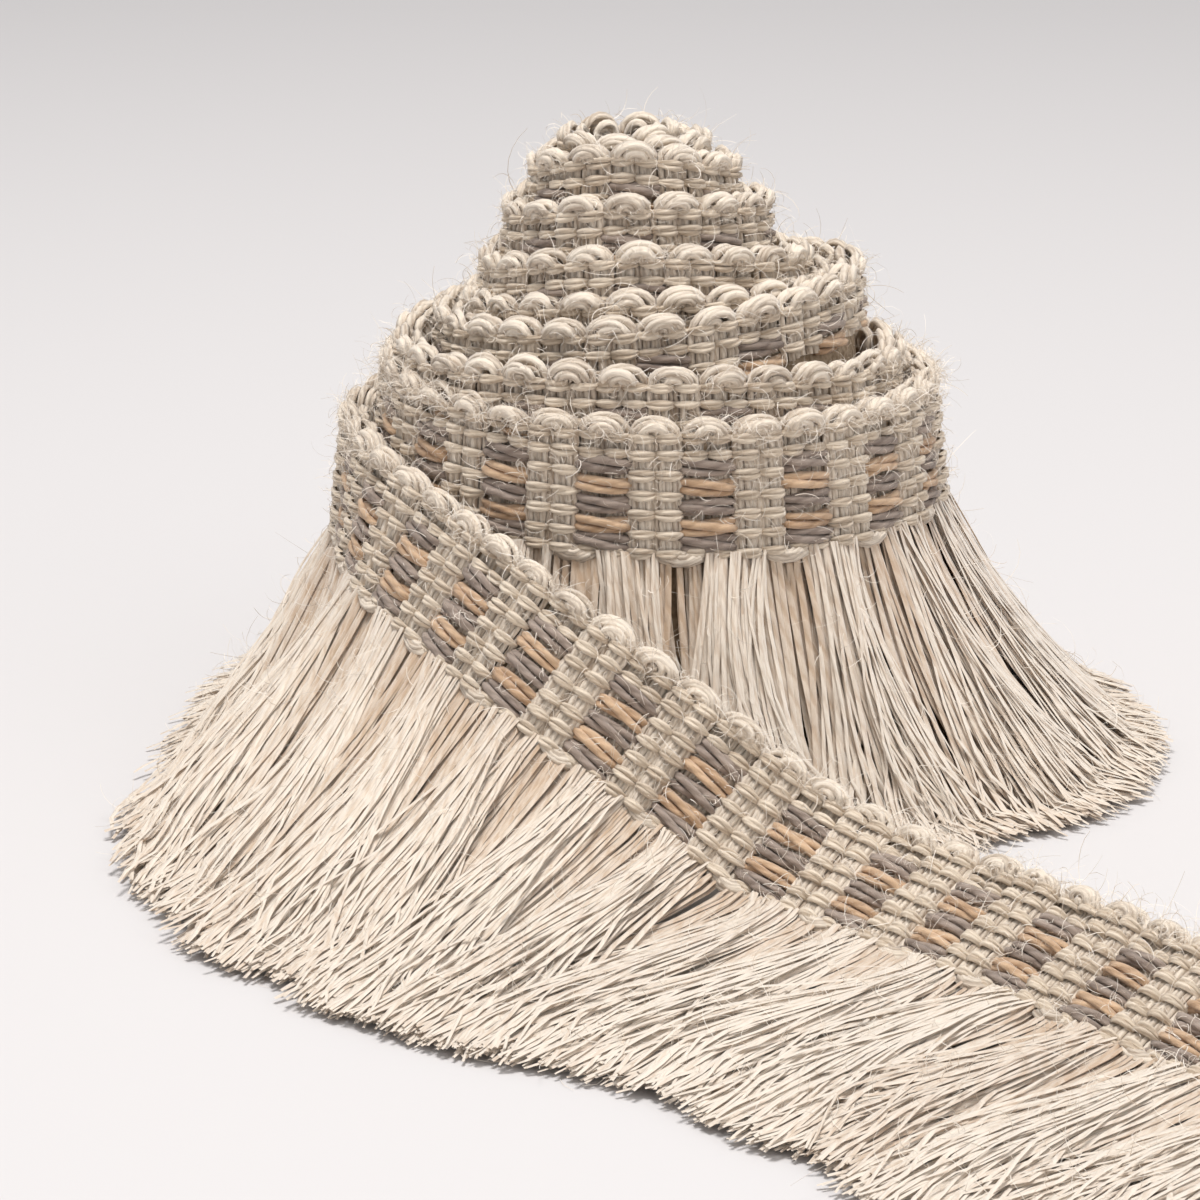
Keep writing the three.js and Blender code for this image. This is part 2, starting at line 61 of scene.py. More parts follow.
# The winding, one row a turn: radius, the centre's shift, and the top edge's height at four sides.
TURNS = [
    dict(radius=8, shift=-5.5, front=128, right=128, back=127.5, left=127),
    dict(radius=14, shift=-5.5, front=127, right=126, back=124.5, left=122),
    dict(radius=19.8, shift=-5.5, front=127, right=121.5, back=118, left=113),
    dict(radius=25.4, shift=-5, front=118, right=114.5, back=109, left=102.5),
    dict(radius=31.7, shift=-3, front=109.5, right=103.5, back=99, left=95),
    dict(radius=35.9, shift=-2.2, front=101.4, right=99, back=95, left=92),
    dict(radius=41.7, shift=-2.9, front=97.6, right=101.5, back=93, left=87),
    dict(radius=49.9, shift=-2.6, front=89.6, right=84.5, back=83, left=83),
    dict(radius=54, shift=-0.5, front=80.7, right=79, back=75, left=70),
    dict(radius=64, shift=-0.5, front=66, right=66, back=66, left=66),
]

# How the last turn's fringe spreads, by the degrees round from its start at the left.
SPREAD = [
    dict(degrees=-180, tip=94, foot=64, sweep=12, flare=0.05),
    dict(degrees=-135, tip=92, foot=63, sweep=9, flare=0.2),
    dict(degrees=-90, tip=87, foot=60, sweep=3, flare=0.35),
    dict(degrees=-60, tip=88, foot=60, sweep=0, flare=0.2),
    dict(degrees=-38, tip=98, foot=64, sweep=0, flare=0.25),
    dict(degrees=-28, tip=104, foot=69, sweep=0, flare=0.3),
    dict(degrees=-6, tip=105, foot=73, sweep=0, flare=0.3),
    dict(degrees=40, tip=99, foot=73, sweep=2, flare=0.3),
    dict(degrees=100, tip=102, foot=74, sweep=6, flare=0.3),
    dict(degrees=140, tip=99, foot=76, sweep=13, flare=0.3),
    dict(degrees=160, tip=96, foot=77, sweep=17.5, flare=0.3),
    dict(degrees=180, tip=104, foot=78, sweep=22, flare=0.5),
]

# The loose end: the middle of its outer face, its lean back from upright, and its fringe's direction
# and length.
LOOSE_END = [
    dict(x=-63.4, y=-1.5, z=56.8, lean=6.5, fringe=231, length=75),
    dict(x=-57.5, y=-28, z=55.8, lean=15, fringe=233, length=79),
    dict(x=-48, y=-45, z=52.7, lean=26, fringe=235, length=84),
    dict(x=-25.5, y=-73, z=43, lean=33, fringe=236, length=81),
    dict(x=5, y=-88, z=24.6, lean=33, fringe=236, length=85),
    dict(x=20.5, y=-96, z=14.6, lean=44, fringe=231, length=86),
    dict(x=35, y=-107.5, z=10.9, lean=58, fringe=227, length=81),
    dict(x=59.5, y=-135.5, z=11, lean=61, fringe=223, length=71),
    dict(x=83, y=-165.5, z=11, lean=61, fringe=222, length=70),
    dict(x=107, y=-196, z=11, lean=61, fringe=222, length=70),
    dict(x=131, y=-226.5, z=11, lean=61, fringe=222, length=70),
]


def column(table, name):
    return np.array([row[name] for row in table], float)


def unit(vectors):
    return vectors / np.maximum(np.linalg.norm(vectors, axis=-1, keepdims=True), 1e-9)


def smooth_at(values, place):
    """A smooth curve through evenly spaced values."""
    last = len(values) - 1
    i = np.clip(np.floor(place).astype(int), 0, last - 1)
    u = place - i
    a, b, c, d = (values[np.clip(i + k, 0, last)] for k in (-1, 0, 1, 2))
    return b + 0.5 * u * (c - a + u * (2 * a - 5 * b + 4 * c - d + u * (3 * (b - c) + d - a)))


def spread_at(degrees, name):
    return np.interp(degrees, column(SPREAD, "degrees"), column(SPREAD, name))


def knot_curve(knots, place):
    """The centripetal curve through the stations, at places counted in stations."""
    ends = np.vstack([2 * knots[0] - knots[1], knots, 2 * knots[-1] - knots[-2]])
    i = np.clip(np.floor(place).astype(int), 0, len(knots) - 2)
    u = (place - i)[:, None]
    a, b, c, d = (ends[i + k] for k in range(4))
    ab, bc, cd = (np.sqrt(np.linalg.norm(q - p, axis=1, keepdims=True)) for p, q in ((a, b), (b, c), (c, d)))
    leave = ((b - a) / ab - (c - a) / (ab + bc) + (c - b) / bc) * bc
    arrive = ((c - b) / bc - (d - b) / (bc + cd) + (d - c) / cd) * bc
    cubic = 2 * b - 2 * c + leave + arrive
    square = -3 * b + 3 * c - 2 * leave - arrive
    return b + leave * u + square * u**2 + cubic * u**3


class Trim:
    """The heading's course, by the pattern's length p: its top edge and its directions up and out."""

    def __init__(self):
        roll = self.roll_rows()
        loose = self.loose_rows()
        self.start = roll[0, 0]
        self.end = loose[-1, 0]
        self.rows = np.vstack([roll, loose])

    def roll_rows(self):
        turns = np.linspace(0, LAST_TURN_END, ROLL_SAMPLES)
        angle = 2 * np.pi * turns - np.pi / 2
        radius = smooth_at(column(TURNS, "radius"), turns)
        shift = smooth_at(column(TURNS, "shift"), turns)
        sides = np.array([[row[k] for k in ("front", "right", "back", "left")] for row in TURNS], float)
        top = smooth_at(sides.ravel(), 4 * turns)
        radial = np.stack([np.cos(angle), np.sin(angle), 0 * angle], 1)
        origin = radial * radius[:, None]
        origin[:, 0] += shift
        origin[:, 2] = top
        length = np.append(0, np.cumsum(np.linalg.norm(np.diff(origin[:, :2], axis=0), axis=1)))
        pattern = length - np.interp(REFERENCE_TURN, turns, length)
        ease = np.clip((turns - (LAST_TURN_END - JOIN_EASE)) / JOIN_EASE, 0, 1)
        pattern = pattern + (JOIN_PATTERN - pattern[-1]) * ease
        up = unit(np.array([0, 0, 1.0]) - radial * ROLL_SPLAY / HEADING_HEIGHT)
        along = np.stack([-np.sin(angle), np.cos(angle), 0 * angle], 1)
        out = np.cross(along, up)
        return np.column_stack([pattern, origin, up, out, turns])

    def loose_rows(self):
        knots = np.stack([column(LOOSE_END, k) for k in "xyz"], 1)
        place = np.linspace(0, len(knots) - 1, LOOSE_SAMPLES)
        middle = knot_curve(knots, place)
        length = np.append(0, np.cumsum(np.linalg.norm(np.diff(middle, axis=0), axis=1)))
        along = unit(np.gradient(middle, axis=0))
        upright = unit(np.array([0, 0, 1.0]) - along * along[:, 2:])
        outward = np.cross(along, upright)
        lean = np.radians(smooth_at(column(LOOSE_END, "lean"), place))[:, None]
        up = np.cos(lean) * upright - np.sin(lean) * outward
        out = np.cross(along, up)
        origin = middle + up * HEADING_HEIGHT / 2
        along_pattern = JOIN_PATTERN + length
        self.fringe_rows = (along_pattern, np.radians(smooth_at(column(LOOSE_END, "fringe"), place)))
        self.length_rows = (along_pattern, smooth_at(column(LOOSE_END, "length"), place))
        turns = LAST_TURN_END + length / LOOSE_TURN
        return np.column_stack([JOIN_PATTERN + PAST_JOIN + length, origin, up, out, turns])

    def read(self, p, first, count=3):
        parts = [np.interp(p, self.rows[:, 0], self.rows[:, first + k]) for k in range(count)]
        return np.stack(parts, -1)

    def at(self, p, h, d):
        """The point at pattern length p, height h above the top edge and depth d out of the face."""
        p, h, d = np.broadcast_arrays(np.asarray(p, float), h, d)
        return self.read(p, 1) + self.read(p, 4) * h[..., None] + self.read(p, 7) * d[..., None]

    def up(self, p):
        return unit(self.read(p, 4))

    def out(self, p):
        return unit(self.read(p, 7))

    def along(self, p):
        return np.cross(self.up(p), self.out(p))

    def turns(self, p):
        return np.interp(p, self.rows[:, 0], self.rows[:, 10])

    def pattern(self, turns):
        return np.interp(turns, self.rows[:, 10], self.rows[:, 0])

    def fringe(self, p):
        return np.interp(p, *self.fringe_rows)

    def length(self, p):
        return np.interp(p, *self.length_rows)


TRIM = Trim()


YARN_START = 400  # lengths along the yarns start anywhere up to this, so that no two look alike


class Yarns:
    """Tubes gathered for one mesh, all with the same number of sides, or arched strips if arch is given."""

    def __init__(self, sides, arch=None):
        self.sides = sides
        self.arch = arch
        self.points = []
        self.quads = []
        self.rings = []
        self.tints_and_shades = []
        self.count = 0

    def add(self, paths, across, radii, tints_and_shades):
        """paths is (n, k, 3), across a direction that no path runs along, radii and tints (n, k) or less."""
        n, k = paths.shape[:2]
        radii = np.broadcast_to(radii, (n, k))
        run = unit(np.gradient(paths, axis=1))
        side = unit(np.cross(run, np.broadcast_to(across, paths.shape)))
        face = np.cross(side, run)
        if self.arch is None:
            angle = np.arange(self.sides) * 2 * np.pi / self.sides
        else:
            angle = np.pi / 2 + np.linspace(-self.arch, self.arch, self.sides)
        ring = np.cos(angle)[:, None] * face[:, :, None] + np.sin(angle)[:, None] * side[:, :, None]
        points = paths[:, :, None] + radii[:, :, None, None] * ring
        step = np.linalg.norm(np.diff(paths, axis=1), axis=2)
        length = np.concatenate([RNG.uniform(0, YARN_START, (n, 1)), step], axis=1).cumsum(axis=1)
        base = (np.arange(n * k) * self.sides).reshape(n, k)[:, :-1, None]
        here = np.arange(self.sides - (self.arch is not None))
        after = (here + 1) % self.sides
        above = base + self.sides
        quads = np.stack([base + here, base + after, above + after, above + here], -1)
        self.points.append(points.reshape(-1, 3))
        self.quads.append(quads.reshape(-1, 4) + self.count)
        rings = np.zeros((n, k, self.sides, 3))
        rings[..., 0] = np.cos(angle)
        rings[..., 1] = np.sin(angle)
        rings[..., 2] = length[:, :, None]
        self.rings.append(rings.reshape(-1, 3))
        tints_and_shades = np.asarray(tints_and_shades, float)
        tints_and_shades = tints_and_shades[:, None] if tints_and_shades.ndim == 1 else tints_and_shades
        self.tints_and_shades.append(np.repeat(np.broadcast_to(tints_and_shades, (n, k)).ravel(), self.sides))
        self.count += n * k * self.sides

    def build(self, name, material):
        rings = np.concatenate(self.rings)
        tints_and_shades = np.concatenate(self.tints_and_shades)
        points = np.concatenate(self.points)
        quads = np.concatenate(self.quads)
        return new_mesh(name, points, quads, material, rings, tints_and_shades)


def new_mesh(name, points, quads, material, rings=None, tints_and_shades=None):
    mesh = bpy.data.meshes.new(name)
    mesh.vertices.add(len(points))
    mesh.vertices.foreach_set("co", (points * MM).astype(np.float32).ravel())
    mesh.loops.add(quads.size)
    mesh.loops.foreach_set("vertex_index", quads.astype(np.int32).ravel())
    mesh.polygons.add(len(quads))
    mesh.polygons.foreach_set("loop_start", np.arange(0, quads.size, 4, dtype=np.int32))
    mesh.polygons.foreach_set("use_smooth", np.ones(len(quads), bool))
    mesh.update(calc_edges=True)
    if rings is not None:
        mesh.attributes.new("ring", "FLOAT_VECTOR", "POINT").data.foreach_set(
            "vector", rings.astype(np.float32).ravel()
        )
        mesh.attributes.new("tint_and_shade", "FLOAT", "POINT").data.foreach_set("value", tints_and_shades.astype(np.float32))
    mesh.materials.append(material)
    piece = bpy.data.objects.new(name, mesh)
    bpy.context.scene.collection.objects.link(piece)
    return piece


def settle(piece, slot, *nodes):
    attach(piece, "root")
    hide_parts(*nodes)
    return piece


def linear(red, green, blue):
    """A colour from its everyday values out of 255."""
    values = [value / 255 for value in (red, green, blue)]
    return [v / 12.92 if v <= 0.04045 else ((v + 0.055) / 1.055) ** 2.4 for v in values] + [1]


class Shader:
    """A short way to lay out a material's nodes."""

    def __init__(self, name, roughness=0.9):
        self.material = bpy.data.materials.new(name)
        self.material.use_nodes = True
        self.tree = self.material.node_tree
        self.principled = self.tree.nodes["Principled BSDF"]
        self.principled.inputs["Roughness"].default_value = roughness
        self.principled.inputs["Specular IOR Level"].default_value = 0.25

    def node(self, kind, **settings):
        node = self.tree.nodes.new(kind)
        for name, value in settings.items():
            setattr(node, name, value)
        return node

    def link(self, source, target):
        self.tree.links.new(source, target)

    def feed(self, node, values):
        """Sets a node's inputs: sockets are linked and plain values are written."""
        for key, value in values.items():
            if isinstance(value, bpy.types.NodeSocket):
                self.link(value, node.inputs[key])
            else:
                node.inputs[key].default_value = value
        return node

    def math(self, operation, a, b=0.0, c=0.0):
        node = self.node("ShaderNodeMath", operation=operation)
        self.feed(node, {0: a, 1: b, 2: c})
        return node.outputs[0]

    def mix(self, share, a, b, blend="MIX"):
        node = self.node("ShaderNodeMix", data_type="RGBA", blend_type=blend)
        self.feed(node, {0: share, 6: a, 7: b})
        return node.outputs[2]

    def noise(self, scale, detail=2.0, vector=None, rough=0.5):
        node = self.node("ShaderNodeTexNoise")
        self.feed(node, {"Scale": scale, "Detail": detail, "Roughness": rough})
        if vector is not None:
            self.link(vector, node.inputs["Vector"])
        return node.outputs["Fac"]

    def ramp(self, value, low, high, start=0.0, end=1.0):
        node = self.node("ShaderNodeMapRange")
        self.feed(node, {0: value, 1: low, 2: high, 3: start, 4: end})
        return node.outputs[0]


# How a yarn's tone and relief are mixed, with painted shade in the grooves between its plies, and how fine
# its noises are.
DRIFT_SCALE = 260
DRIFT_TURN = 5.0
FIBRE_SCALE = 3.2
FIBRE_ROUND = 2.2
FIBRE_ALONG = 0.3
FIBRE_TONE = 0.75
GROOVE_PAINTED_SHADE = 0.3
GROOVE_END = 0.2
TINT_TONE = 0.45
TONE_FLOOR = 0.15
PLY_HEIGHT = 0.45
YARN_RELIEF = 0.0004
CLOTH_RELIEF = 0.0006


def yarn_material(name, light, dark, plies, pitch, bump=0.5, sheen=0.25):
    """Twisted yarn: plies that wind round it with painted shade in the grooves between them, fine fibres,
    and a tone of its own for each length that also carries the painted light and shade its piece gives it.
    """
    shader = Shader(name, 0.92)
    ring = shader.node("ShaderNodeAttribute", attribute_name="ring").outputs["Vector"]
    tint_and_shade = shader.node("ShaderNodeAttribute", attribute_name="tint_and_shade").outputs["Fac"]
    parts = shader.node("ShaderNodeSeparateXYZ")
    shader.link(ring, parts.inputs[0])
    angle = shader.math("ARCTAN2", parts.outputs[1], parts.outputs[0])
    place = shader.node("ShaderNodeNewGeometry").outputs["Position"]
    drift = shader.noise(DRIFT_SCALE, 2.0, place)
    turn = shader.math("MULTIPLY", parts.outputs[2], 2 * math.pi / pitch)
    phase = shader.math("MULTIPLY_ADD", angle, float(plies), turn)
    phase = shader.math("MULTIPLY_ADD", drift, DRIFT_TURN, phase)
    ply = shader.math("SINE", phase)
    fibre_place = shader.node("ShaderNodeCombineXYZ")
    shader.feed(
        fibre_place,
        {
            0: shader.math("MULTIPLY", parts.outputs[0], FIBRE_ROUND),
            1: shader.math("MULTIPLY", parts.outputs[1], FIBRE_ROUND),
            2: shader.math("MULTIPLY", parts.outputs[2], FIBRE_ALONG),
        },
    )
    fibre = shader.noise(FIBRE_SCALE, 4.0, fibre_place.outputs[0], 0.65)
    # painted shade: the colour is darker in the grooves between the plies
    groove_shade = shader.ramp(ply, -1.0, GROOVE_END)
    tone = shader.math("MULTIPLY_ADD", fibre, FIBRE_TONE, shader.math("MULTIPLY", groove_shade, GROOVE_PAINTED_SHADE))
    tone = shader.math("MULTIPLY_ADD", tint_and_shade, TINT_TONE, tone)
    tone = shader.ramp(tone, TONE_FLOOR, 1.0)
    colour = shader.mix(tone, dark, light)
    height = shader.math("MULTIPLY_ADD", ply, PLY_HEIGHT, fibre)
    relief = shader.node("ShaderNodeBump")
    shader.feed(relief, {"Strength": bump, "Distance": YARN_RELIEF, "Height": height})
    shader.link(colour, shader.principled.inputs["Base Color"])
    shader.link(relief.outputs[0], shader.principled.inputs["Normal"])
    shader.principled.inputs["Sheen Weight"].default_value = sheen
    shader.principled.inputs["Sheen Roughness"].default_value = 0.5
    return shader.material


def plain_material(name, light, dark, scale, bump):
    """A dull surface with soft changes of tone."""
    shader = Shader(name, 0.95)
    place = shader.node("ShaderNodeNewGeometry").outputs["Position"]
    cloud = shader.noise(scale, 4.0, place)
    colour = shader.mix(shader.ramp(cloud, 0.3, 0.7), dark, light)
    shader.link(colour, shader.principled.inputs["Base Color"])
    if bump:
        relief = shader.node("ShaderNodeBump")
        shader.feed(relief, {"Strength": bump, "Distance": CLOTH_RELIEF, "Height": cloud})
        shader.link(relief.outputs[0], shader.principled.inputs["Normal"])
    return shader.material


CREAM = yarn_material("cream_weft", linear(246, 232, 214), linear(144, 119, 95), 3, 7.0, 0.6, 0.4)
BINDER = yarn_material("cream_warp", linear(240, 224, 203), linear(164, 139, 112), 3, 5.0, 0.6, 0.4)
FLAX = yarn_material("fringe_yarn", linear(242, 229, 213), linear(200, 173, 146), 2, 6.0, 0.45, 0.8)
GREY = yarn_material("grey_float", linear(182, 164, 151), linear(108, 91, 81), 2, 4.5, 0.8, 0.3)
TAN = yarn_material("tan_float", linear(232, 197, 161), linear(168, 129, 95), 2, 4.5, 0.8, 0.4)
HAZE = yarn_material("loose_fibres", linear(248, 240, 230), linear(226, 212, 194), 1, 9.0, 0.0, 0.0)
CLOTH = plain_material("ground_cloth", linear(204, 184, 160), linear(150, 128, 104), 900, 0.6)
# The packed fringe is flax yarn like the rest; its colours are painted darker, as shade, since it lies deep
# inside the roll's fringe.
PACKED_SHADED = plain_material("packed_fringe_shaded", linear(190, 164, 134), linear(140, 114, 88), 500, 0.8)

# The weave. Heights are from the top edge down. A stitch row is where the fine warp crosses the ribs.
WOVEN_TOP = -3.2
HEM = -HEADING_HEIGHT
WOVEN = WOVEN_TOP - HEM
STITCHES = np.array([0.03, 0.17, 0.33, 0.5, 0.655, 0.815, 0.97])
FLOAT_STITCHES = np.array([0.03, 0.17, 0.97])
FLOATS = [
    dict(share=0.265, is_grey=True),
    dict(share=0.43, is_grey=False),
    dict(share=0.59, is_grey=True),
    dict(share=0.755, is_grey=False),
    dict(share=0.89, is_grey=True),
]
# The yarns of one bundle of weft: across it, depth from the face in a rib, and in a loop's rounded top.
BUNDLE = [
    dict(x=-2.05, d=-0.9, loop_d=-0.5),
    dict(x=-1.1, d=-0.35, loop_d=0.55),
    dict(x=0.0, d=-0.15, loop_d=0.95),
    dict(x=1.1, d=-0.35, loop_d=0.5),
    dict(x=2.05, d=-0.9, loop_d=-0.7),
    dict(x=-1.4, d=-2.6, loop_d=-2.8),
    dict(x=0.1, d=-3.0, loop_d=-3.4),
    dict(x=1.5, d=-2.6, loop_d=-2.6),
]
ROW_BUNDLE = [
    dict(x=-1.9, d=-0.85, loop_d=-0.4),
    dict(x=-0.65, d=-0.25, loop_d=0.8),
    dict(x=0.65, d=-0.25, loop_d=0.8),
    dict(x=1.9, d=-0.85, loop_d=-0.6),
    dict(x=-0.8, d=-2.6, loop_d=-2.7),
    dict(x=1.0, d=-2.8, loop_d=-3.1),
]
BUNDLE_DEPTH = -1.2  # of the middle of a bundle
WEFT_RADIUS = 0.7
ROW_RADIUS = 0.82
RIB_LIFT = -0.45
FLOAT_SINK = 1.25
LOOP_TWIST = 0.3
PUFF_TURN = 6.938  # one loop stands out as a soft ball
PUFF_SIZE = 0.6
LOOP_RISE = 0.6
LOOP_SWELL = 0.16
LOOP_PAINTED_LIGHT = 0.3  # painted light: the loops' tops are painted paler than the ribs, which get painted shade between the stitches
RIB_PAINTED_SHADE = -0.15
LOOP_STEPS = 8
ROW_LOOP_STEPS = 7
LOOP_LEAN = 0.2
LOOP_DEPTH_SHARE = 0.9  # of a loop's width, which its turning brings forwards
LOOP_UNEVEN = 0.09
LOOP_LEAST = 0.1
RIB_WIDTH = 1.06  # of a bundle's own
RIB_SQUEEZE = 0.16  # the share of that which a stitch draws in
STITCH_PRESS = 0.32
STITCH_BITE = 0.045  # share of the height over which a stitch draws the rib in
WEAVE_UNEVEN = 0.11
YARN_UNEVEN = 0.08

# The small loop at the hem, from one rib to the next.
FOOT_STEPS = 6
FOOT_HEIGHT = 0.8
FOOT_SAG = 0.45
FOOT_LEAST = 0.2
FOOT_OUT = 0.2

# A stitch: pairs of yarns that lie over a rib like a lens, and dip in beside it.
STITCH_POINTS = 7
STITCH_REACH = 0.54  # of a pick, to each side
STITCH_APART = 0.14
STITCH_LENS = 0.34
STITCH_CROWN = 1.05
STITCH_DIP = 2.3
STITCH_BEND = 2.4
STITCH_RADIUS = 0.62
STITCH_TAPER = 0.35
STITCH_UNEVEN = dict(p=0.12, h=0.13, d=0.08)
FLOAT_STITCH_SINK = 0.75  # of the floats' own

# A float: three strands that wind round each other and are tucked under the ribs at both ends.
FLOAT_TUCK = 1.1
FLOAT_TWIST = 1.9
FLOAT_COIL = 1.02
FLOAT_COIL_DEPTH = 0.6
FLOAT_BACK = -2.2
FLOAT_ARCH = 1.55
FLOAT_RADIUS = 0.62
FLOAT_SWELL = 0.2
FLOAT_SLANT = 0.25
FLOAT_PHASES = (0.2, 0.8)  # half turns
FLOAT_STEPS = 10
ROW_FLOAT_STEPS = 7
ROW_FLOATS = 2  # of the inner turns, whose others are hidden

GROUND_DEPTH = -2.6
GROUND_STEP = 1.6
GROUND_LINES = 7


def heights(shares):
    return WOVEN_TOP - WOVEN * np.asarray(shares)


def leg(shares):
    """Heights down a rib, with how far the bundle is drawn in at each by the stitches."""
    squeeze = np.array([np.exp(-((np.abs(STITCHES - share).min() / STITCH_BITE) ** 2)) for share in shares])
    return heights(shares), squeeze


FULL_LEG = np.sort(np.concatenate([STITCHES, (STITCHES[1:] + STITCHES[:-1]) / 2]))
SHORT_LEG = np.array([0.03, 0.1, 0.17, 0.25, 0.33, 0.44])
SHORT_FLOAT_LEG = np.array([0.03, 0.1, 0.17, 0.36])
FLOAT_LEG = np.array([0.03, 0.17, 0.4, 0.65, 0.97])
HIDDEN = -1.5  # yarns set in deeper than this are the back of a bundle
STITCH_ARCH = 1.75


def weft_up(centres, yarn, shares, sink, arc_steps):
    """One yarn of a loop: up its left rib, over the top and down its right rib, as p, h, d and bow."""
    h_leg, squeeze = leg(shares)
    x, d = yarn["x"], yarn["d"]
    reach = PICK / 2 + x * (RIB_WIDTH - RIB_SQUEEZE * squeeze)
    depth = d + RIB_LIFT - sink - squeeze * STITCH_PRESS * (d > HIDDEN)
    arc = np.linspace(np.pi, 0, arc_steps + 2)[1:-1]
    count = len(centres)
    turned = RNG_LOOPS.normal(0, LOOP_TWIST, (count, 1)) * np.cos(arc)
    twist = turned + RNG_LOOPS.normal(0, LOOP_LEAN, (count, 1))
    deep = yarn["loop_d"] - BUNDLE_DEPTH
    across = x * np.cos(twist) - deep * LOOP_DEPTH_SHARE * np.sin(twist)
    deep = deep * np.cos(twist) + x * LOOP_DEPTH_SHARE * np.sin(twist)
    radius = PICK / 2 + across
    puff = 1 + PUFF_SIZE * np.exp(-(((centres - TRIM.pattern(PUFF_TURN)) / PICK) ** 2))[:, None]
    deep = deep * puff
    rise = (LOOP_RISE * radius + LOOP_LEAST) * (1 + RNG_LOOPS.normal(0, LOOP_UNEVEN, (count, 1))) * puff
    flat = np.zeros((count, len(reach)))
    p = np.concatenate([flat - reach[::-1], radius * np.cos(arc), flat + reach], 1)
    h = np.concatenate([flat + h_leg[::-1], WOVEN_TOP + rise * np.sin(arc), flat + h_leg], 1)
    loop_depth = BUNDLE_DEPTH + RIB_LIFT + deep
    dd = np.concatenate([flat + depth[::-1], loop_depth, flat + depth], 1)
    bow = np.concatenate([flat, np.sin(arc) + np.zeros((count, 1)), flat], 1)
    return p, h, dd, bow


def roughen(p, h, d, amount):
    """Unevenness of a hand-made weave: each yarn shifted as a whole and a little along its way."""
    shape = p.shape
    p = p + RNG.normal(0, amount, (shape[0], 1)) + RNG.normal(0, amount * 0.35, shape)
    d = d + RNG.normal(0, amount * 0.8, (shape[0], 1)) + RNG.normal(0, amount * 0.3, shape)
    h = h + RNG.normal(0, amount * 0.9, (shape[0], 1))
    return p, h, d


def add_weft(yarns, p, h, d, bow, radius):
    p, h, d = roughen(p, h, d, WEAVE_UNEVEN)
    p = np.clip(p, TRIM.start + 0.5, TRIM.end - 0.3)
    paths = TRIM.at(p, h, d)
    paths[..., 2] = np.maximum(paths[..., 2], radius)
    widths = radius * (1 + RNG.normal(0, YARN_UNEVEN, (len(p), 1))) * (1 + LOOP_SWELL * bow)
    # painted light on the loops' tops and painted shade on the ribs, following the bow
    tints_and_shades = RNG.random((len(p), 1)) + RIB_PAINTED_SHADE + (LOOP_PAINTED_LIGHT - RIB_PAINTED_SHADE) * bow
    yarns.add(paths, TRIM.out(p), widths, tints_and_shades)


def full_weft(name, repeats, slot, nodes):
    """The weft of whole repeats: ribs, top loops, the small loop at the hem and the ribs behind floats."""
    yarns = Yarns(5)
    centres = np.asarray(repeats) * REPEAT
    count = len(centres)
    arc = np.linspace(np.pi, 0, FOOT_STEPS)[1:-1]
    for yarn in BUNDLE:
        shares = FULL_LEG if yarn["d"] > HIDDEN else FLOAT_LEG
        plain = weft_up(centres, yarn, shares, 0.0, LOOP_STEPS)
        behind = weft_up(centres, yarn, FLOAT_LEG, FLOAT_SINK, LOOP_STEPS)
        small = PICK / 2 - yarn["x"]
        foot_p = REPEAT / 4 + small * np.cos(arc)
        foot_h = HEM + FOOT_HEIGHT - (FOOT_SAG * small + FOOT_LEAST) * np.sin(arc)
        foot_d = np.full(len(arc), yarn["d"] + FOOT_OUT)
        foot = [np.tile(values, (count, 1)) for values in (foot_p, foot_h, foot_d, 0 * foot_d)]
        p, h, d, bow = (np.concatenate([a, b, c], 1) for a, b, c in zip(plain, foot, behind))
        shift = np.zeros(p.shape[1])
        shift[plain[0].shape[1] + len(arc):] = REPEAT / 2
        add_weft(yarns, p + shift + centres[:, None], h, d, bow, WEFT_RADIUS)
    return settle(yarns.build(name, CREAM), slot, *nodes)


def row_weft(name, repeats, slot, nodes):
    """The weft of the inner turns, of which only the upper part is ever seen."""
    yarns = Yarns(4)
    for yarn in ROW_BUNDLE:
        for offset, sink, shares in ((0, 0.0, SHORT_LEG), (REPEAT / 2, FLOAT_SINK, SHORT_FLOAT_LEG)):
            centres = np.asarray(repeats) * REPEAT + offset
            shares = shares if yarn["d"] > HIDDEN else shares[:2]
            p, h, d, bow = weft_up(centres, yarn, shares, sink, ROW_LOOP_STEPS)
            add_weft(yarns, p + centres[:, None], h, d, bow, ROW_RADIUS)
    return settle(yarns.build(name, CREAM), slot, *nodes)


def add_stitches(yarns, ribs, shares, sink):
    """Pairs of fine warp yarns that cross each rib and dip in beside it."""
    u = np.linspace(-1, 1, STITCH_POINTS)
    for share in shares:
        for side in (-1, 1):
            count = len(ribs)
            p = ribs[:, None] + u * PICK * STITCH_REACH + RNG.normal(0, STITCH_UNEVEN["p"], (count, 1))
            lens = STITCH_APART + STITCH_LENS * (1 - u**2)
            h = heights(share) + side * lens + RNG.normal(0, STITCH_UNEVEN["h"], (count, 1))
            crown = STITCH_CROWN + RIB_LIFT - sink
            d = crown - STITCH_DIP * np.abs(u) ** STITCH_BEND
            d = d + RNG.normal(0, STITCH_UNEVEN["d"], (count, 1))
            p = np.clip(p, TRIM.start + 0.3, TRIM.end - 0.2)
            paths = TRIM.at(p, h, d)
            radii = STITCH_RADIUS * (1 - STITCH_TAPER * np.abs(u) ** 2)
            yarns.add(paths, TRIM.up(p), np.tile(radii, (count, 1)), RNG.random(count))


def warp(name, repeats, shares, float_shares, slot, nodes):
    yarns = Yarns(4, STITCH_ARCH)
    centres = np.asarray(repeats) * REPEAT
    plain = np.concatenate([centres - PICK / 2, centres + PICK / 2])
    behind = plain + REPEAT / 2
    add_stitches(yarns, plain, shares, 0.0)
    add_stitches(yarns, behind, float_shares, FLOAT_SINK * FLOAT_STITCH_SINK)
    return settle(yarns.build(name, BINDER), slot, *nodes)


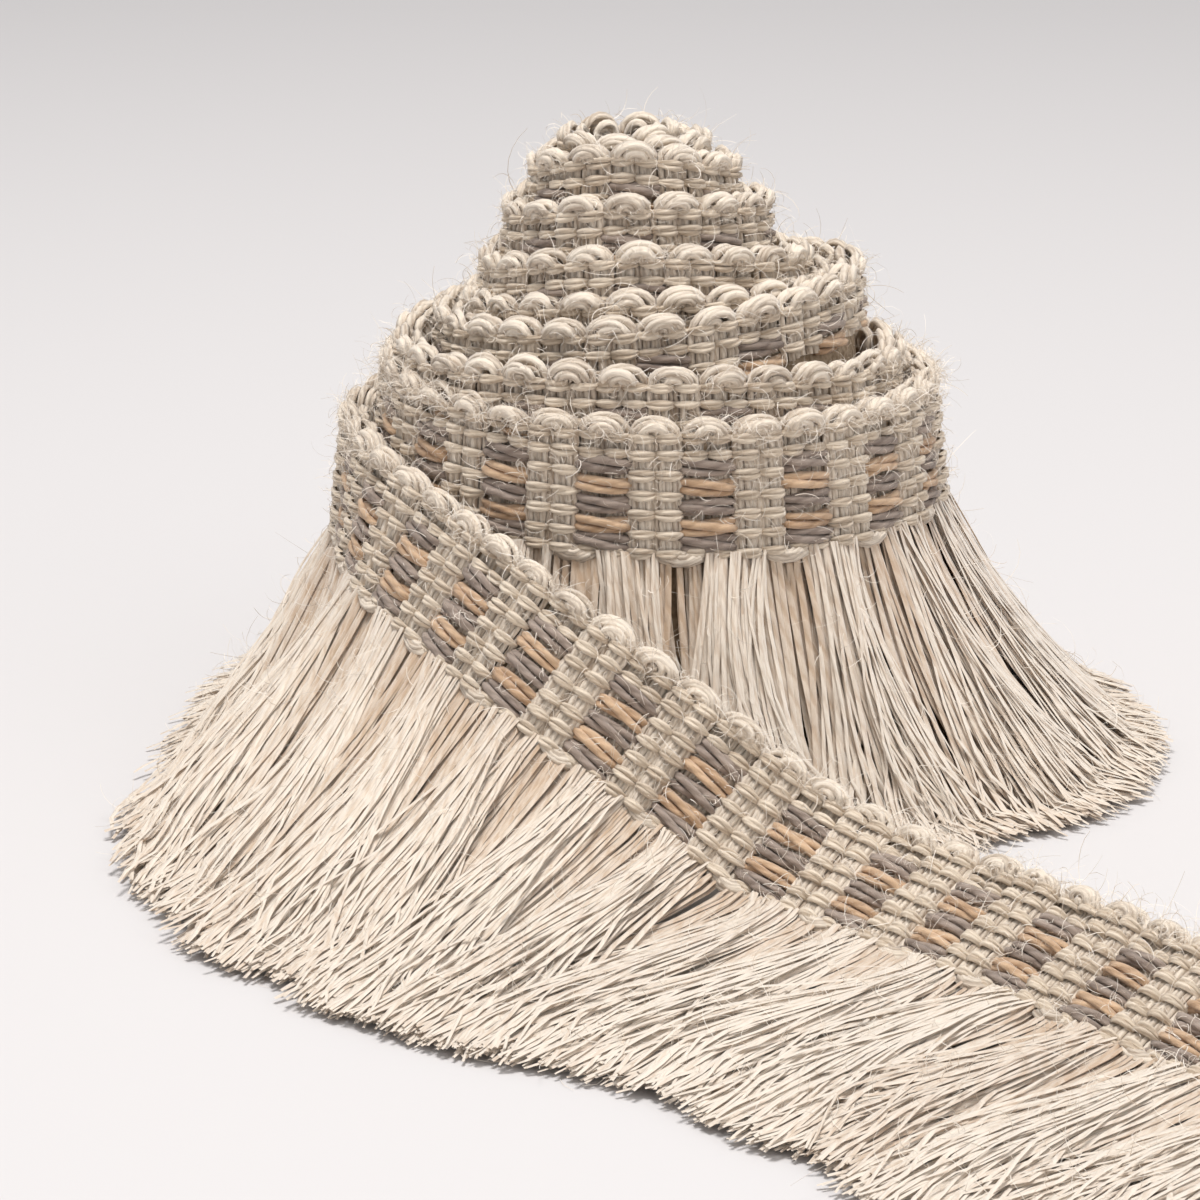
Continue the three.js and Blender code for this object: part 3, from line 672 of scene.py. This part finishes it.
def floats(name, repeats, is_grey, count, steps, slot, nodes):
    """Three softly twisted strands a float, across the gap between two ribbed pairs."""
    yarns = Yarns(5)
    u = np.linspace(0, 1, steps)
    centres = np.asarray(repeats) * REPEAT + REPEAT / 2
    total = len(centres)
    for row in FLOATS[:count]:
        if row["is_grey"] != is_grey:
            continue
        slant = RNG.normal(0, FLOAT_SLANT, (total, 1))
        phase = RNG.uniform(*FLOAT_PHASES, (total, 1)) * np.pi
        for side in (0, 2 * np.pi / 3, 4 * np.pi / 3):
            turn = phase + side + FLOAT_TWIST * u
            p = centres[:, None] + (u - 0.5) * (REPEAT / 2 + FLOAT_TUCK)
            h = heights(row["share"]) + FLOAT_COIL * np.cos(turn) + slant * (u - 0.5)
            arch = 1 - np.abs(2 * u - 1) ** 4
            d = FLOAT_BACK + FLOAT_ARCH * arch + FLOAT_COIL_DEPTH * np.sin(turn)
            p = np.clip(p + RNG.normal(0, 0.1, (total, 1)), TRIM.start, TRIM.end - 0.3)
            paths = TRIM.at(p, h, d)
            radii = (FLOAT_RADIUS + FLOAT_SWELL * arch) * (1 + RNG.normal(0, 0.07, (total, 1)))
            yarns.add(paths, TRIM.up(p), radii, RNG.random(total))
    return settle(yarns.build(name, GREY if is_grey else TAN), slot, *nodes)


def ground(name, first, last, node):
    """The cloth that the bundles stand on, one thin sheet along the heading."""
    p = np.arange(first, last, GROUND_STEP)
    shares = np.linspace(0.0, 0.99, GROUND_LINES)
    h = heights(shares)
    grid = TRIM.at(p[:, None], h[None, :], GROUND_DEPTH)
    rows, lines = grid.shape[:2]
    index = np.arange(rows * lines).reshape(rows, lines)
    quads = np.stack([index[:-1, :-1], index[1:, :-1], index[1:, 1:], index[:-1, 1:]], -1).reshape(-1, 4)
    piece = new_mesh(name, grid.reshape(-1, 3), quads, CLOTH)
    settle(piece, "heading_yarn", node)
    width = abs(h[-1] - h[0])
    return piece, (width * MM, (last - first) * MM)


# The fringe. Its strands are open arched strips, and each lock of them draws its own values.
STRAND_ARCH = 0.95
LOCK_DRIFT = [1.7, 1.0]
LOCK_SHADE = 0.15
LOCK_PLACE = 15  # of a lock in its repeat, between the floats' right rib and the next plain left rib
ROOT_HEIGHT = 0.9  # above the hem
ROOT_SLOPE = 0.2  # of a layer's inset, by which its roots lie lower
ROOT_DEPTHS = (-2.6, 0.3)
SLACK = 1.5  # what the curve of a strand takes off its reach
TRIM_EDGE = 0.4  # between the last root and the trim's cut end
FLARE_UNEVEN = 0.09
PULL_DOWN = -0.9
# How far locks and strands turn aside, in degrees, how far locks reach and the longest strands pass the
# solids' cut ends, how unevenly the ends are cut and how high they lie.
ROLL_SPREAD = dict(lock_turn=1.2, turn=1.2, lock_reach=1.2, over=1.5, cut=(1.6, 1.3), heights=(0.5, 2.4))
LOOSE_SPREAD = dict(lock_turn=1.6, turn=1.8, lock_reach=1.8, over=2, cut=(1.6, 1.5), heights=(0.5, 2.8))
ROOT_SHADE = [0.05, 0.4]  # shares of a strand's length, between which its painted shade goes from the root's to the body's

# How a strand falls: the stretch that lies on the floor, and its curve from the root to there.
REST_SHARE = 0.16
LEAST_REST = 8.0
SPARE_REST = 0.3
HANG_SHARE = 0.35
LEAST_HANG = 4
SLIDE_PLACE = 0.78
SLIDE_HEIGHT = 0.1
LEVEL_SHARES = [0.35, 0.7, 1.0]

WAVES = (0.7, 1.4, 2.6)  # bends along a strand
WAVE_GROWTH = 1.6
WAVE_FADE = 0.8
WAVE_LIFT = 0.3
FLOOR_CLEAR = 0.55
TAPER_PLACES = [0, 0.1, 0.93, 1]
TAPER_SIZES = [0.9, 1, 0.95, 0.7]

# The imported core, by rings from the hem down to the floor.
CORE_SECTIONS = 181
CORE_RINGS = 9
CORE_TOP = 2
CORE_DEPTH = -4.6
CORE_FOOT = 4
CORE_BOW = 1.35
CORE_MIDDLE = [0.05, 0.05, 1]

# The stray fibres: how many each place has, their length and how they leave the yarn.
FIBRES = dict(roll=9200, last_turn=3400, loose_end=4200, roll_fringe=4600, loose_fringe=4600)
FIBRE_STEPS = 7
FIBRE_BEND = (0.6, 4.2)
FIBRE_SKEW = 0.25
FIBRE_RADIUS = (0.04, 0.085)
FIBRE_CLEAR = 0.3
FIBRE_SHAPE = 2.4
HEADING_FIBRE = dict(scale=1.2, least=1.2, out=(0.1, 0.8), climb=(0.1, 0.6), aside=0.9, on_loops=0.5)
FRINGE_FIBRE = dict(scale=1.8, least=2.5, stray=0.55, lift=0.15)
ROLL_FUZZ_FOOT = -12  # the inner turns have none lower than this


def fall(roots, tips, pull, gather, steps, rise):
    """Strands from their roots down to the floor, where the last of each lies level."""
    span = (tips - roots) * [1, 1, 0]
    reach = np.linalg.norm(span, axis=1, keepdims=True)
    drop = roots[:, 2:]
    spare = np.maximum(FRINGE_LENGTH - np.hypot(reach, drop), 0)
    rest = np.maximum(LEAST_REST, reach * REST_SHARE + spare * SPARE_REST)
    landing = tips - unit(span) * rest
    landing[:, 2:] = tips[:, 2:] + rise
    first = roots + pull * (drop * HANG_SHARE + LEAST_HANG) + gather
    slide = roots + (landing - roots) * SLIDE_PLACE
    slide[:, 2:] = drop * SLIDE_HEIGHT + landing[:, 2:]
    t = np.linspace(0, 1, steps)[None, :, None]
    a, b, c, d = (points[:, None] for points in (roots, first, slide, landing))
    curve = a * (1 - t) ** 3 + 3 * b * t * (1 - t) ** 2 + 3 * c * t**2 * (1 - t) + d * t**3
    share = np.array(LEVEL_SHARES)[None, :, None]
    level = landing[:, None] * (1 - share) + tips[:, None] * share
    return np.concatenate([curve, level], 1)


def wave(paths, amount, across, drift):
    """Soft bends that grow from the root: a strand's own, and the drift that its whole lock shares."""
    n, k = paths.shape[:2]
    s = np.linspace(0, 1, k)
    grow = np.minimum(1, s * WAVE_GROWTH) * amount
    bend = np.zeros((n, k))
    for waves in WAVES:
        phase = RNG.uniform(0, 2 * np.pi, (n, 1))
        size = RNG.normal(0, 1.0 / waves**WAVE_FADE, (n, 1))
        bend += size * (np.sin(waves * 2 * np.pi * s + phase) - np.sin(phase))
    shared = drift[:, :1] * np.sin(np.pi * s) + drift[:, 1:] * np.sin(2 * np.pi * s)
    lift = np.abs(RNG.normal(0, WAVE_LIFT, (n, 1))) * np.sin(np.pi * s) * grow
    moved = paths + across * (bend * grow + shared)[..., None]
    moved[..., 2] += lift
    moved[..., 2] = np.maximum(moved[..., 2], FLOOR_CLEAR)
    return moved


def taper(n, k, radius):
    s = np.linspace(0, 1, k)
    shape = np.interp(s, TAPER_PLACES, TAPER_SIZES)
    return radius * shape * (1 + RNG.normal(0, 0.16, (n, 1)))


def lock_centres(first, last):
    """The middles of the locks that hang from this stretch of the heading."""
    lowest = math.ceil((first - LOCK_PLACE) / REPEAT)
    highest = math.floor((last - LOCK_PLACE) / REPEAT)
    return np.arange(lowest, highest + 1) * REPEAT + LOCK_PLACE


def lock_members(centres, layer):
    """Strands of each lock: its number, where the strand roots in the row and where in the row it lands."""
    RNG_LOCKS.bit_generator.state = np.random.default_rng(len(centres)).bit_generator.state
    lock = np.repeat(np.arange(len(centres)), layer["count"])
    offset = RNG.uniform(-1, 1, len(lock)) * layer["width"]
    stray = RNG.normal(0, layer["stray"], len(lock))
    centre = centres[lock]
    return lock, centre + offset, centre + offset * layer["spread"] + stray


# The fringe's layers: strands a lock, half a lock's width at the heading and how much wider it lands,
# how far strands stray, how deep the layer is set in, how much shorter it is, how high it is piled on
# the floor, the strands' radius, their own waviness, the points along one, how much a lock is drawn
# together under the heading, swells out of the skirt and drifts as a whole, and the layer's painted
# shade at the root and further down: the deeper layers are painted darker, and their roots darker still.
ROLL_LAYERS = [
    dict(name="roll_fringe_fine", count=60, width=5.6, spread=1.65, stray=2.4, inset=0.2, short=0.0,
         pile=2.0, radius=0.43, sway=1.7, steps=11, gather=0.55, swell=1.8, loose=1.0, root=0.0, tone=0.3),
    dict(name="roll_fringe_strands", count=48, width=5.6, spread=1.7, stray=1.8, inset=0.7, short=0.5,
         pile=1.5, radius=0.6, sway=1.3, steps=10, gather=0.45, swell=1.5, loose=1.0, root=-0.3, tone=0.1),
    dict(name="roll_fringe_under", count=54, width=10.2, spread=1.0, stray=2.4, inset=1.5, short=2.5,
         pile=1.2, radius=0.75, sway=0.9, steps=7, gather=0.0, swell=0.0, loose=0.0, root=-1.1, tone=-0.2),
]
LOOSE_LAYERS = [
    dict(name="loose_fringe_fine", count=64, width=5.5, spread=1.65, stray=2.5, inset=0.2, short=0.5,
         pile=2.2, radius=0.43, sway=1.7, steps=11, gather=0.55, swell=2.0, loose=1.0, root=0.0, tone=0.3),
    dict(name="loose_fringe_strands", count=52, width=5.5, spread=1.7, stray=1.9, inset=0.6, short=1.0,
         pile=1.8, radius=0.6, sway=1.4, steps=10, gather=0.45, swell=1.7, loose=1.0, root=-0.3, tone=0.1),
    dict(name="loose_fringe_under", count=68, width=10.2, spread=1.0, stray=2.4, inset=0.9, short=2.5,
         pile=1.4, radius=0.62, sway=0.9, steps=7, gather=0.0, swell=0.0, loose=0.0, root=-1.1, tone=-0.2),
]


def lock_tone(lock):
    return RNG_LOCKS.normal(0, LOCK_SHADE, lock.max() + 1)[lock]


def finish_fringe(layer, roots, tips, pull, middle, lock, nodes):
    """Lets a layer's strands fall, draws each lock together, bends it softly and makes one piece."""
    total = len(roots)
    rise = RNG.uniform(0, 1, (total, 1)) * layer["pile"]
    apart = middle - roots
    gather = apart * layer["gather"] * RNG.uniform(0.5, 1.3, (total, 1))
    paths = fall(roots, tips, pull, gather, layer["steps"], rise)
    side = unit(np.cross([0, 0, 1.0], tips - roots))[:, None]
    drift = RNG_LOCKS.normal(0, 1, (lock.max() + 1, 2))[lock] * LOCK_DRIFT * layer["loose"]
    paths = wave(paths, layer["sway"], side, drift)
    share = np.linspace(0, 1, paths.shape[1])
    edge = np.linalg.norm(apart, axis=1, keepdims=True) / layer["width"]
    swell = layer["swell"] * (1 - edge**2) * np.sin(np.pi * share**0.8)
    paths = paths + unit(np.cross(unit(tips - roots)[:, None], side)) * swell[..., None]
    yarns = Yarns(3, STRAND_ARCH)
    # painted shade: each layer's strands are darkened by its depth in the fringe, most at the roots
    depth = np.interp(share, ROOT_SHADE, [layer["root"], layer["tone"]])
    tints_and_shades = (RNG.uniform(0.2, 0.8, total) + lock_tone(lock))[:, None] + depth
    yarns.add(paths, side, taper(total, paths.shape[1], layer["radius"]), tints_and_shades)
    return settle(yarns.build(layer["name"], FLAX), "fringe_yarn", *nodes), paths


def roll_fringe(layer, nodes):
    """A layer of the fringe of the roll's last turn."""
    first, last = TRIM.pattern(LAST_TURN_END - 1) - 5, JOIN_PATTERN - 1
    centres = lock_centres(first, last)
    lock, root_p, land_p = lock_members(centres, layer)
    total = len(lock)
    height = HEM + ROOT_HEIGHT - layer["inset"] * ROOT_SLOPE
    depth = RNG.uniform(*ROOT_DEPTHS, total) - layer["inset"]
    roots = TRIM.at(root_p, height, depth)
    middle = TRIM.at(centres[lock], height, depth)
    degrees = 360 * (TRIM.turns(land_p) - LAST_TURN_END + 0.5)
    way = ROLL_SPREAD
    lock_turn = RNG_LOCKS.normal(0, way["lock_turn"], len(centres))[lock] * layer["loose"]
    turn = spread_at(degrees, "sweep") + lock_turn + RNG.normal(0, way["turn"], total)
    azimuth = np.radians(degrees + turn)
    lock_reach = RNG_LOCKS.normal(0, way["lock_reach"], len(centres))[lock]
    reach = spread_at(degrees, "tip") - layer["short"] + lock_reach + way["over"]
    reach = reach - RNG.gamma(*way["cut"], total)
    lying = RNG.uniform(*way["heights"], total)
    tips = np.stack([reach * np.cos(azimuth), reach * np.sin(azimuth), lying], 1)
    angle = 2 * np.pi * TRIM.turns(root_p) - np.pi / 2
    flare = spread_at(degrees, "flare") + RNG.normal(0, FLARE_UNEVEN, total)
    pull = np.stack([flare * np.cos(angle), flare * np.sin(angle), np.full(total, PULL_DOWN)], 1)
    return finish_fringe(layer, roots, tips, pull, middle, lock, nodes)


def loose_fringe(layer, nodes):
    """A layer of the loose end's fringe, which is drawn out to the left over the floor."""
    centres = lock_centres(JOIN_PATTERN - 4, TRIM.end)
    lock, root_p, land_p = lock_members(centres, layer)
    way = LOOSE_SPREAD
    last = TRIM.end - TRIM_EDGE
    root_p, land_p = (np.clip(p, JOIN_PATTERN, last) for p in (root_p, land_p))
    total = len(lock)
    depth = RNG.uniform(*ROOT_DEPTHS, total) - layer["inset"]
    roots = TRIM.at(root_p, HEM + ROOT_HEIGHT, depth)
    middle = TRIM.at(np.clip(centres[lock], JOIN_PATTERN, last), HEM + ROOT_HEIGHT, depth)
    roots[:, 2] = np.maximum(roots[:, 2], 1.2)
    lock_turn = RNG_LOCKS.normal(0, way["lock_turn"], len(centres))[lock] * layer["loose"]
    azimuth = TRIM.fringe(land_p) + np.radians(lock_turn + RNG.normal(0, way["turn"], total))
    lock_reach = RNG_LOCKS.normal(0, way["lock_reach"], len(centres))[lock]
    reach = np.sqrt(TRIM.length(land_p) ** 2 - roots[:, 2] ** 2) - SLACK - layer["short"]
    reach = reach + lock_reach + way["over"] - RNG.gamma(*way["cut"], total)
    tips = TRIM.at(land_p, HEM, -2.0)
    tips[:, 0] += reach * np.cos(azimuth)
    tips[:, 1] += reach * np.sin(azimuth)
    tips[:, 2] = RNG.uniform(*way["heights"], total)
    return finish_fringe(layer, roots, tips, -TRIM.up(root_p), middle, lock, nodes)


def packed_core():
    """The fringe of the inner turns, packed together inside the last turn's and standing on the floor,
    coloured darker as painted shade.
    """
    turns = np.linspace(LAST_TURN_END - 1, LAST_TURN_END, CORE_SECTIONS)[:-1]
    degrees = 360 * (turns - LAST_TURN_END + 0.5)
    angle = 2 * np.pi * turns - np.pi / 2
    hem = TRIM.at(TRIM.pattern(turns), HEM + CORE_TOP, CORE_DEPTH)
    foot = spread_at(degrees, "foot") + CORE_FOOT
    low = np.stack([foot * np.cos(angle), foot * np.sin(angle), 0 * angle + 0.2], 1)
    ease = np.linspace(0, 1, CORE_RINGS)[:, None, None]
    bow = 1 - (1 - ease) ** CORE_BOW
    rings = hem * (1 - bow) + low * bow
    rings[..., 2:] = hem[:, 2:] * (1 - ease) + low[:, 2:] * ease
    rings = np.concatenate([(hem * CORE_MIDDLE)[None], rings, (low * CORE_MIDDLE)[None]])
    count, size = rings.shape[:2]
    index = np.arange(count * size).reshape(count, size)
    after = np.roll(index, -1, axis=1)
    quads = np.stack([index[:-1], index[1:], after[1:], after[:-1]], -1).reshape(-1, 4)
    piece = new_mesh("packed_fringe_shaded", rings.reshape(-1, 3), quads, PACKED_SHADED)
    return settle(piece, "fringe_yarn", "wound_heading", "roll_fringe")


def fibres(name, starts, directions, lengths, slot, nodes):
    """Fine stray fibres that curl away from the yarns, each a bent arc."""
    total = len(starts)
    s = np.linspace(0, 1, FIBRE_STEPS)[None, :, None]
    first = directions[:, None]
    second = unit(np.cross(first, RNG.normal(0, 1, (total, 1, 3))))
    third = np.cross(first, second)
    bend = RNG.uniform(*FIBRE_BEND, (total, 1, 1))
    lengths = lengths[:, None, None]
    arc = first * np.sin(bend * s) / bend + second * (1 - np.cos(bend * s)) / bend
    skew = third * RNG.normal(0, FIBRE_SKEW, (total, 1, 1)) * s**2
    paths = starts[:, None] + lengths * (arc + skew)
    paths[..., 2] = np.maximum(paths[..., 2], FIBRE_CLEAR)
    yarns = Yarns(2, np.pi / 2)
    radii = RNG.uniform(*FIBRE_RADIUS, (total, 1)) * np.interp(s[..., 0], [0, 1], [1, 0.5])
    yarns.add(paths, unit(RNG.normal(0, 1, (total, 1, 3))), radii, RNG.random(total))
    return settle(yarns.build(name, HAZE), slot, *nodes)


def heading_fuzz(name, first, last, count, lowest, nodes):
    """Stray fibres over the heading, half of them on its loops."""
    p = RNG.uniform(first, last, count)
    on_loops = RNG.random(count) < HEADING_FIBRE["on_loops"]
    h = np.where(on_loops, RNG.uniform(-4.0, -0.6, count), RNG.uniform(lowest, -3, count))
    starts = TRIM.at(p, h, RNG.uniform(-0.4, 0.4, count))
    out, up, along = TRIM.out(p), TRIM.up(p), TRIM.along(p)
    lift = RNG.uniform(*HEADING_FIBRE["out"], (count, 1))
    climb = RNG.normal(*HEADING_FIBRE["climb"], (count, 1)) + on_loops[:, None] * 0.5
    aside = RNG.normal(0, HEADING_FIBRE["aside"], (count, 1))
    directions = unit(out * lift + up * climb + along * aside)
    lengths = RNG.gamma(FIBRE_SHAPE, HEADING_FIBRE["scale"], count) + HEADING_FIBRE["least"]
    return fibres(name, starts, directions, lengths, "heading_yarn", nodes)


def fringe_fuzz(name, paths, count, nodes):
    """Stray fibres that leave the fringe's strands along their way."""
    strand = RNG.integers(0, len(paths), count)
    knot = RNG.integers(1, paths.shape[1] - 2, count)
    starts = paths[strand, knot]
    run = unit(paths[strand, knot + 1] - starts)
    directions = unit(run + RNG.normal(0, FRINGE_FIBRE["stray"], (count, 3)) + [0, 0, FRINGE_FIBRE["lift"]])
    lengths = RNG.gamma(FIBRE_SHAPE, FRINGE_FIBRE["scale"], count) + FRINGE_FIBRE["least"]
    return fibres(name, starts, directions, lengths, "fringe_yarn", nodes)


def dress_heading(rows, last_turn, loose):
    """The woven pieces of the roll and of the loose end."""
    wound, out = ["wound_heading"], ["loose_heading"]
    slot = "heading_yarn"
    every = [
        full_weft("last_turn_weft", last_turn, slot, wound),
        row_weft("inner_turns_weft", rows, slot, wound),
        warp("last_turn_warp", last_turn, STITCHES, FLOAT_STITCHES, slot, wound),
        warp("inner_turns_warp", rows, STITCHES[:3], FLOAT_STITCHES[:2], slot, wound),
        floats("last_turn_floats_grey", last_turn, True, len(FLOATS), FLOAT_STEPS, slot, wound),
        floats("last_turn_floats_tan", last_turn, False, len(FLOATS), FLOAT_STEPS, slot, wound),
        floats("inner_turns_floats_grey", rows, True, ROW_FLOATS, ROW_FLOAT_STEPS, slot, wound),
        floats("inner_turns_floats_tan", rows, False, ROW_FLOATS, ROW_FLOAT_STEPS, slot, wound),
    ]
    tail = [
        full_weft("loose_end_weft", loose, slot, out),
        warp("loose_end_warp", loose, STITCHES, FLOAT_STITCHES, slot, out),
        floats("loose_end_floats_grey", loose, True, len(FLOATS), FLOAT_STEPS, slot, out),
        floats("loose_end_floats_tan", loose, False, len(FLOATS), FLOAT_STEPS, slot, out),
    ]
    return every, tail


def dress():
    """Builds every piece of the trim."""
    outer_start = TRIM.pattern(LAST_TURN_END - 1)
    rows = np.arange(math.ceil((TRIM.start + 4) / REPEAT), math.floor(outer_start / REPEAT) + 1)
    last_turn = np.arange(rows[-1] + 1, math.floor((JOIN_PATTERN - 3) / REPEAT) + 1)
    loose = np.arange(last_turn[-1] + 1, math.floor((TRIM.end - 14.6) / REPEAT) + 1)
    wound, out = ["wound_heading"], ["loose_heading"]
    every, tail = dress_heading(rows, last_turn, loose)
    packed_core()
    roll_paths = [roll_fringe(layer, ["roll_fringe"])[1] for layer in ROLL_LAYERS][0]
    loose_paths = [loose_fringe(layer, ["loose_fringe"])[1] for layer in LOOSE_LAYERS][0]
    roll = heading_fuzz("roll_fuzz", TRIM.start, JOIN_PATTERN, FIBRES["roll"], ROLL_FUZZ_FOOT, wound)
    turn = heading_fuzz("last_turn_fuzz", outer_start, JOIN_PATTERN, FIBRES["last_turn"], HEM, wound)
    every += [roll, turn]
    last = TRIM.end - 2
    tail.append(heading_fuzz("loose_end_fuzz", JOIN_PATTERN, last, FIBRES["loose_end"], HEM, out))
    fringe_fuzz("roll_fringe_fuzz", roll_paths, FIBRES["roll_fringe"], ["roll_fringe"])
    fringe_fuzz("loose_fringe_fuzz", loose_paths, FIBRES["loose_fringe"], ["loose_fringe"])
    wound_cloth, wound_flat = ground("wound_cloth", TRIM.start + 1, JOIN_PATTERN, "wound_heading")
    loose_cloth, loose_flat = ground("loose_cloth", JOIN_PATTERN, TRIM.end - 0.6, "loose_heading")


# The studio, in metres.
FLOOR_HALF = 6.0
AIM = (0, 0, 0.05)
LIGHTS = [
    dict(name="key", place=(-0.05, -0.2, 1.8), size=0.5, watts=26, colour=(1.0, 0.985, 0.965)),
    dict(name="fill", place=(0.9, -0.9, 0.9), size=1.2, watts=3.5, colour=(1.0, 0.98, 0.96)),
]
SURROUND = (0.96, 0.96, 0.97, 1)
SURROUND_STRENGTH = 0.56
CAMERA_PLACE = (-0.01094, -0.7837, 0.2639)
CAMERA_TILT = 16.69  # degrees down
CAMERA_LENS = 120
CAMERA_SENSOR = 36


def make_floor():
    mesh = bpy.data.meshes.new("floor")
    half = FLOOR_HALF
    corners = [(-half, -half, 0), (half, -half, 0), (half, half, 0), (-half, half, 0)]
    mesh.from_pydata(corners, [], [(0, 1, 2, 3)])
    shader = Shader("floor", 0.8)
    shader.principled.inputs["Base Color"].default_value = linear(214, 211, 211)
    mesh.materials.append(shader.material)
    floor = bpy.data.objects.new("floor", mesh)
    bpy.context.scene.collection.objects.link(floor)


def area_light(light):
    data = bpy.data.lights.new(light["name"], "AREA")
    data.size = light["size"]
    data.energy = light["watts"]
    data.color = light["colour"]
    lamp = bpy.data.objects.new(light["name"], data)
    lamp.location = light["place"]
    away = np.array(light["place"]) - np.array(AIM)
    flat = math.hypot(away[0], away[1])
    lamp.rotation_euler = (math.atan2(flat, away[2]), 0, math.atan2(away[1], away[0]) + math.pi / 2)
    bpy.context.scene.collection.objects.link(lamp)


def light_scene():
    world = bpy.data.worlds.new("studio")
    world.use_nodes = True
    background = world.node_tree.nodes["Background"]
    background.inputs["Color"].default_value = SURROUND
    background.inputs["Strength"].default_value = SURROUND_STRENGTH
    bpy.context.scene.world = world
    for light in LIGHTS:
        area_light(light)
    bpy.context.scene.view_settings.view_transform = "Standard"


def place_camera():
    data = bpy.data.cameras.new("camera")
    data.lens = CAMERA_LENS
    data.sensor_width = CAMERA_SENSOR
    data.clip_start = 0.01
    data.clip_end = 30
    data.dof.use_dof = False
    camera = bpy.data.objects.new("camera", data)
    camera.location = CAMERA_PLACE
    camera.rotation_euler = (math.radians(90 - CAMERA_TILT), 0, 0)
    bpy.context.scene.collection.objects.link(camera)
    bpy.context.scene.camera = camera


dress()
make_floor()
light_scene()
place_camera()
